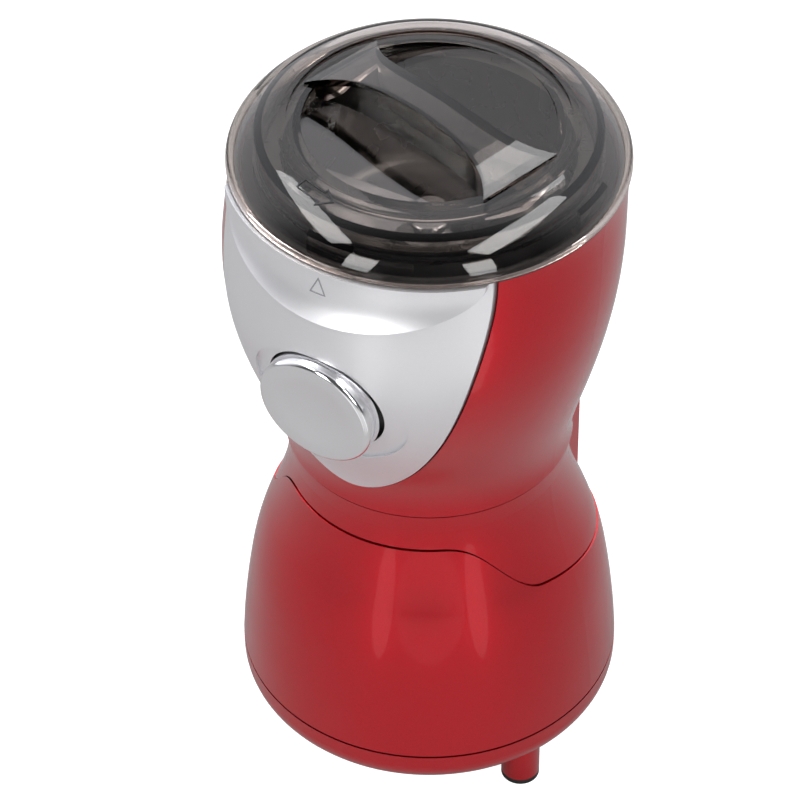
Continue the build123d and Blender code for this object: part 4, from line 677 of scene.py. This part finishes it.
def winding_copper():
    """Enamelled copper wire, seen as fine turns."""
    colours = props()[1]
    made = finish("winding_copper", colours.copper_low, colours.copper_high,
                  scale=220.0, smooth=0.25, rough=0.4, Metallic=1.0)
    return lined(made, scale=420.0, distortion=1.5, strength=0.6, depth=0.0002)


def brush_carbon():
    """Dull carbon of the motor brushes."""
    colours = props()[1]
    return finish("brush_carbon", colours.carbon_low, colours.carbon_high,
                  scale=700.0, smooth=0.5, rough=0.7, grain=(2600.0, 0.25))


def mark_grey():
    """Grey line of the lock mark."""
    colours = props()[1]
    return finish("mark_grey", colours.mark_low, colours.mark_high,
                  scale=900.0, smooth=0.4, rough=0.5, grain=(2500.0, 0.08), Metallic=0.4)


def pale_floor():
    """Pale studio floor, white where it is seen and lighter through the lid."""
    _, colours, studio = props()
    made = finish("pale_floor", colours.floor_low, colours.floor_high,
                  scale=3.0, smooth=0.7, rough=0.9, Emission_Color=(1.0, 1.0, 1.0, 1.0))
    tree = made.node_tree
    link = tree.links.new
    path = added(tree, "LightPath")
    seen = added(tree, "MapRange")
    set_inputs(seen, To_Min=studio.floor_glow, To_Max=studio.backdrop)
    through = added(tree, "Math", operation="MULTIPLY_ADD")
    through.inputs[1].default_value = studio.through_glow
    link(path.outputs["Is Camera Ray"], seen.inputs["Value"])
    link(path.outputs["Is Transmission Ray"], through.inputs[0])
    link(seen.outputs["Result"], through.inputs[2])
    link(through.outputs["Value"], tree.nodes["Principled BSDF"].inputs["Emission Strength"])
    return made


# Meshes

def linked(name, data):
    """A new object in the scene, with its mesh, lamp or camera."""
    made = bpy.data.objects.new(name, data)
    bpy.context.scene.collection.objects.link(made)
    return made


def kept_mesh(name, work):
    """A new object with the mesh that was worked on, its faces turned outwards."""
    bmesh.ops.recalc_face_normals(work, faces=work.faces)
    mesh = bpy.data.meshes.new(name)
    work.to_mesh(mesh)
    work.free()
    return linked(name, mesh)


def dress(nodes, material, edge=None, joined=False):
    """Gives solids a finish and, with an edge, softened edges; joined evens the shading of round faces."""
    for name in nodes:
        node = frame["nodes"][name]
        node.data.materials.clear()
        node.data.materials.append(material)
        if joined:
            weld = node.modifiers.new("joined_faces", "WELD")
            weld.merge_threshold = props()[0].weld_gap
        if edge:
            soft = node.modifiers.new("soft_edge", "BEVEL")
            soft.width = edge
            soft.segments = 2
            soft.limit_method = "ANGLE"
            soft.angle_limit = math.radians(35.0)
            soft.harden_normals = True
        if joined:
            even = node.modifiers.new("even_normals", "WEIGHTED_NORMAL")
            even.keep_sharp = True


def surface_of(name):
    """A search tree of a solid's skin, in the shared frame."""
    node = frame["nodes"][name]
    points = [node.matrix_world @ vertex.co for vertex in node.data.vertices]
    faces = [tuple(face.vertices) for face in node.data.polygons]
    return BVHTree.FromPolygons(points, faces)


def along(corners, step):
    """A closed outline's corners with even points added between them."""
    points = []
    for start, end in zip(corners, corners[1:] + corners[:1]):
        count = max(1, round((end - start).length / step))
        points += [start.lerp(end, i / count) for i in range(count)]
    return points


def offset_outline(points, distance):
    """A closed outline moved inwards by a distance, in its own plane."""
    moved = []
    total = len(points)
    for i, point in enumerate(points):
        before = (point - points[i - 1]).normalized()
        after = (points[(i + 1) % total] - point).normalized()
        normal = Vector((-before.y, before.x)) + Vector((-after.y, after.x))
        normal.normalize()
        share = max(LEAST_MITRE, normal.dot(Vector((-after.y, after.x))))
        moved.append(point + normal * (distance / share))
    return moved


def ridge(name, corners, line, rise, sink, place):
    """A raised line along a closed outline; place maps an outline point to the surface and its normal."""
    outline = along(corners, line)
    rings = [
        [(place(point), height) for point in offset_outline(outline, shift)]
        for shift, height in ((-line / 2, -sink), (-line / 3, rise), (line / 3, rise), (line / 2, -sink))
    ]
    work = bmesh.new()
    rows = [[work.verts.new(spot + normal * height) for (spot, normal), height in ring] for ring in rings]
    total = len(outline)
    for row, beside in zip(rows, rows[1:] + rows[:1]):
        for i in range(total):
            after = (i + 1) % total
            work.faces.new((row[i], row[after], beside[after], beside[i]))
    return kept_mesh(name, work)


def coil(name, middle, axis, sizes):
    """A round-wire compression spring about an axis, closed at both ends."""
    axis = Vector(axis).normalized()
    side = axis.orthogonal().normalized()
    across = axis.cross(side)
    steps = round(sizes.coil_turns * COIL_STEPS)
    run = sizes.coil_length - 2 * sizes.coil_wire
    work = bmesh.new()
    rings = []
    for i in range(steps + 1):
        turn = math.tau * sizes.coil_turns * i / steps
        out = side * math.cos(turn) + across * math.sin(turn)
        centre = middle + axis * run * (i / steps - 0.5) + out * sizes.coil_radius
        leans = [math.tau * k / WIRE_SIDES for k in range(WIRE_SIDES)]
        rims = [out * math.cos(lean) + axis * math.sin(lean) for lean in leans]
        rings.append([work.verts.new(centre + rim * sizes.coil_wire) for rim in rims])
    for ring, beside in zip(rings, rings[1:]):
        for k in range(WIRE_SIDES):
            after = (k + 1) % WIRE_SIDES
            work.faces.new((ring[k], ring[after], beside[after], beside[k])).smooth = True
    work.faces.new(rings[0])
    work.faces.new(rings[-1])
    return kept_mesh(name, work)


# Pieces

class GRINDER_OT_shells(bpy.types.Operator):
    """Red lacquer on the four shells of the housing"""

    bl_idname = "grinder.shells"
    bl_label = "Shells"

    def execute(self, context):
        sizes = props()[0]
        dress(("neck_shell", "base_skirt", "bottom_cover"), red_lacquer(), sizes.shell_edge)
        # The upper housing's red carries painted shade: black in the button's well and on the rim's top
        dress(("upper_housing",), red_with_black_well(), sizes.shell_edge)
        return {"FINISHED"}


class GRINDER_OT_panel(bpy.types.Operator):
    """Silver front panel with its lock mark"""

    bl_idname = "grinder.panel"
    bl_label = "Front panel"

    def execute(self, context):
        sizes = props()[0]
        dress(("front_panel",), silver_lacquer(), sizes.panel_edge)
        skin = surface_of("front_panel")

        def place(point):
            start = Vector((point.x, FRONT_START, point.y))
            spot, normal, _, _ = skin.ray_cast(start, Vector((0.0, 1.0, 0.0)))
            return spot, normal

        half = sizes.triangle_width / 2
        low = sizes.triangle_z
        corners = [Vector((-half, low)), Vector((half, low)), Vector((0.0, low + sizes.triangle_height))]
        mark = ridge("lock_mark", corners, sizes.triangle_line, sizes.triangle_rise, sizes.mark_sink, place)
        mark.data.materials.append(mark_grey())
        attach(mark, "housing")
        return {"FINISHED"}


class GRINDER_OT_button(bpy.types.Operator):
    """Bright push button with its clip, spring and switch"""

    bl_idname = "grinder.button"
    bl_label = "Button"

    def execute(self, context):
        sizes = props()[0]
        dress(("power_button",), bright_plating(), sizes.trim_edge, joined=True)
        dress(("button_clip", "button_spring"), turned_steel())
        press = press_joint()
        low, high = (Vector(corner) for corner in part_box("button_spring"))
        inward = Vector(press["axis"]).normalized()
        middle = (low + high) / 2
        held = frame["nodes"]["button_spring"]
        reach = [(held.matrix_world @ corner.co).dot(inward) for corner in held.data.vertices]
        middle += inward * ((min(reach) + max(reach)) / 2 - middle.dot(inward))
        spring = coil("button_coil", middle, -inward, sizes)
        spring.data.materials.append(turned_steel())
        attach(spring, "housing")
        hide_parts("button_spring")
        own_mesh(spring)
        dress(("power_switch", "switch_bracket"), black_plastic(), sizes.trim_edge)
        dress(("switch_plunger",), white_plastic())
        dress(("bracket_screws",), turned_steel())
        return {"FINISHED"}


class GRINDER_OT_lid(bpy.types.Operator):
    """Smoked lid with its moulded arrow and its seal"""

    bl_idname = "grinder.lid"
    bl_label = "Lid"

    def execute(self, context):
        sizes = props()[0]
        dress(("lid",), smoked_plastic(), sizes.trim_edge)
        dress(("lid_seal",), black_rubber())
        skin = surface_of("lid")

        def place(point):
            turn = sizes.arrow_centre + point.x / sizes.arrow_radius
            reach = sizes.arrow_radius + point.y
            start = Vector((reach * math.sin(turn), -reach * math.cos(turn), TOP_START))
            spot, normal, _, _ = skin.ray_cast(start, Vector((0.0, 0.0, -1.0)))
            return spot, normal

        tip = sizes.arrow_length / 2
        neck = tip - sizes.arrow_head
        head = sizes.arrow_head_width / 2
        shaft = sizes.arrow_shaft_width / 2
        corners = [Vector(corner) for corner in (
            (-tip, -shaft), (neck, -shaft), (neck, -head), (tip, 0.0),
            (neck, head), (neck, shaft), (-tip, shaft),
        )]
        arrow = ridge("lid_arrow", corners, sizes.arrow_line, sizes.arrow_rise, sizes.mark_sink, place)
        arrow.data.materials.append(mould_line())
        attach(arrow, "lid")
        return {"FINISHED"}


class GRINDER_OT_bowl(bpy.types.Operator):
    """Bowl, collar, blade and lid interlock"""

    bl_idname = "grinder.bowl"
    bl_label = "Bowl and blade"

    def execute(self, context):
        sizes = props()[0]
        dress(("grinding_bowl",), bowl_steel(), sizes.trim_edge)
        dress(("blade", "blade_nut"), turned_steel(), sizes.trim_edge)
        dress(("bowl_collar", "blade_hub", "interlock_switch"), black_plastic(), sizes.trim_edge)
        dress(("interlock_pin",), white_plastic(), sizes.trim_edge)
        dress(("shaft_seal",), black_rubber())
        return {"FINISHED"}


class GRINDER_OT_motor(bpy.types.Operator):
    """Universal motor inside the housing"""

    bl_idname = "grinder.motor"
    bl_label = "Motor"

    def execute(self, context):
        steel = ("motor_shaft", "motor_screws", "motor_bolts", "brush_spring_front", "brush_spring_rear")
        bronze = ("upper_bearing", "lower_bearing", "brush_holder_front", "brush_holder_rear")
        dress(steel, turned_steel())
        dress(("motor_upper_bracket", "motor_lower_bracket"), die_casting())
        dress(bronze, sintered_bronze())
        dress(("stator_core", "armature_core"), lamination_steel())
        dress(("field_coil_front", "field_coil_rear", "armature_winding", "commutator"), winding_copper())
        dress(("carbon_brush_front", "carbon_brush_rear"), brush_carbon())
        dress(("cooling_fan",), black_plastic())
        dress(("motor_damper",), black_rubber())
        return {"FINISHED"}


class GRINDER_OT_base(bpy.types.Operator):
    """Feet, cord inlet, screws and the parts under the base"""

    bl_idname = "grinder.base"
    bl_label = "Base"

    def execute(self, context):
        sizes = props()[0]
        rubber = ("foot_front_right", "foot_rear", "foot_front_left", "cord_grommet")
        dress(rubber, black_rubber(), sizes.trim_edge)
        dress(("cover_screws", "seam_screws", "clamp_screws"), turned_steel())
        dress(("cord_clamp",), black_plastic(), sizes.trim_edge)
        dress(("suppressor_capacitor",), yellow_plastic(), sizes.trim_edge)
        return {"FINISHED"}


# Studio

def direction(turn, rise=0.0):
    """The way from the motor axis, turned from the front towards +X and raised above the horizon."""
    return Vector((math.sin(turn) * math.cos(rise), -math.cos(turn) * math.cos(rise), math.sin(rise)))


def facing(way):
    """The turn of a lamp or camera that looks along a way."""
    return way.to_track_quat("-Z", "Y").to_euler()


def softbox(name, place, target, size, power, shape="RECTANGLE"):
    """A flat studio light that faces a point."""
    lamp = bpy.data.lights.new(name, "AREA")
    lamp.shape = shape
    lamp.size, lamp.size_y = size
    lamp.energy = power
    made = linked(name, lamp)
    made.location = place
    made.rotation_euler = facing(target - place)


def lay_floor(studio):
    """The pale floor under the feet."""
    half = studio.floor_size / 2
    corners = [(-half, -half, 0), (half, -half, 0), (half, half, 0), (-half, half, 0)]
    mesh = bpy.data.meshes.new("floor")
    mesh.from_pydata(corners, [], [(0, 1, 2, 3)])
    mesh.materials.append(pale_floor())
    floor = linked("floor", mesh)


def paint_room(studio):
    """A white backdrop that fades out towards the camera's side."""
    world = bpy.data.worlds.new("white_room")
    bpy.context.scene.world = world
    world.use_nodes = True
    tree = world.node_tree
    link = tree.links.new
    place = added(tree, "TexCoord")
    side = added(tree, "VectorMath", operation="DOT_PRODUCT")
    side.inputs[1].default_value = direction(studio.azimuth)
    link(place.outputs["Generated"], side.inputs[0])
    rooms = []
    for far in (studio.far_room, studio.mirrored_room):
        shade = added(tree, "MapRange", interpolation_type="SMOOTHSTEP")
        set_inputs(shade, From_Min=FADE_START, From_Max=FADE_END, To_Min=far, To_Max=studio.near_room)
        room = added(tree, "Background")
        room.inputs["Color"].default_value = (*studio.room_tint, 1.0)
        link(side.outputs["Value"], shade.inputs["Value"])
        link(shade.outputs["Result"], room.inputs["Strength"])
        rooms.append(room.outputs["Background"])
    seen = added(tree, "Background")
    set_inputs(seen, Color=(1.0, 1.0, 1.0, 1.0), Strength=studio.backdrop)
    path = added(tree, "LightPath")
    mirrored = added(tree, "MixShader")
    link(path.outputs["Is Glossy Ray"], mirrored.inputs["Fac"])
    link(rooms[0], mirrored.inputs[1])
    link(rooms[1], mirrored.inputs[2])
    pick = added(tree, "MixShader")
    link(path.outputs["Is Camera Ray"], pick.inputs["Fac"])
    link(mirrored.outputs["Shader"], pick.inputs[1])
    link(seen.outputs["Background"], pick.inputs[2])
    link(pick.outputs["Shader"], tree.nodes["World Output"].inputs["Surface"])


def hang_lights(studio):
    """Softboxes and panels round the object, and slanting fills low in front of it."""
    middle = Vector((0.0, 0.0, studio.target_z))
    for name, turn, rise, size, power in SOFTBOXES:
        away = direction(math.radians(turn), math.radians(rise))
        softbox(name, middle + away * studio.light_distance, middle, size, getattr(studio, power))
    run = studio.fill_far - studio.fill_near
    mid = (studio.fill_far + studio.fill_near) / 2
    for name, turn, width, power in FILLS:
        away = direction(math.radians(turn))
        place = away * mid + Vector((0.0, 0.0, studio.fill_height / 2))
        ahead = Vector((0.0, 0.0, run)) - away * studio.fill_height
        size = (getattr(studio, width), math.hypot(run, studio.fill_height))
        softbox(name, place, place + ahead, size, getattr(studio, power), "ELLIPSE")


def set_camera(studio):
    """The camera, above and to the right of the front."""
    back = direction(studio.azimuth, studio.elevation)
    lens = bpy.data.cameras.new("camera")
    lens.lens = studio.lens
    lens.sensor_width = 36.0
    lens.shift_x = studio.shift_x
    camera = linked("camera", lens)
    camera.location = Vector((0.0, 0.0, studio.target_z)) + back * studio.distance
    camera.rotation_euler = facing(-back)
    bpy.context.scene.camera = camera


class GRINDER_OT_stage(bpy.types.Operator):
    """White room, pale floor, softboxes and the camera"""

    bl_idname = "grinder.stage"
    bl_label = "Studio"

    def execute(self, context):
        studio = props()[2]
        context.scene.view_settings.view_transform = "Standard"
        lay_floor(studio)
        paint_room(studio)
        hang_lights(studio)
        set_camera(studio)
        return {"FINISHED"}


PIECES = (GRINDER_OT_shells, GRINDER_OT_panel, GRINDER_OT_button, GRINDER_OT_lid, GRINDER_OT_bowl,
          GRINDER_OT_motor, GRINDER_OT_base, GRINDER_OT_stage)
GROUPS = (
    ("grinder_sizes", GrinderSizes),
    ("grinder_colours", GrinderColours),
    ("grinder_studio", StudioSettings),
)


class GRINDER_PT_panel(bpy.types.Panel):
    """Sidebar with the grinder's steps and settings"""

    bl_idname = "GRINDER_PT_panel"
    bl_label = "Coffee grinder"
    bl_space_type = "VIEW_3D"
    bl_region_type = "UI"
    bl_category = "Grinder"

    def draw(self, context):
        for piece in PIECES:
            self.layout.operator(piece.bl_idname)
        for name, group in GROUPS:
            box = self.layout.box()
            for setting in group.__annotations__:
                box.prop(getattr(context.scene, name), setting)


def register():
    """Adds the settings, the steps and the sidebar."""
    for name, group in GROUPS:
        bpy.utils.register_class(group)
        setattr(bpy.types.Scene, name, bpy.props.PointerProperty(type=group))
    for made in (*PIECES, GRINDER_PT_panel):
        bpy.utils.register_class(made)


def unregister():
    """Takes them out again."""
    for made in (GRINDER_PT_panel, *reversed(PIECES)):
        bpy.utils.unregister_class(made)
    for name, group in reversed(GROUPS):
        delattr(bpy.types.Scene, name)
        bpy.utils.unregister_class(group)


def main():
    """Builds every piece in order."""
    register()
    bpy.ops.grinder.shells()
    bpy.ops.grinder.panel()
    bpy.ops.grinder.button()
    bpy.ops.grinder.lid()
    bpy.ops.grinder.bowl()
    bpy.ops.grinder.motor()
    bpy.ops.grinder.base()
    bpy.ops.grinder.stage()


if __name__ == "__main__":
    main()
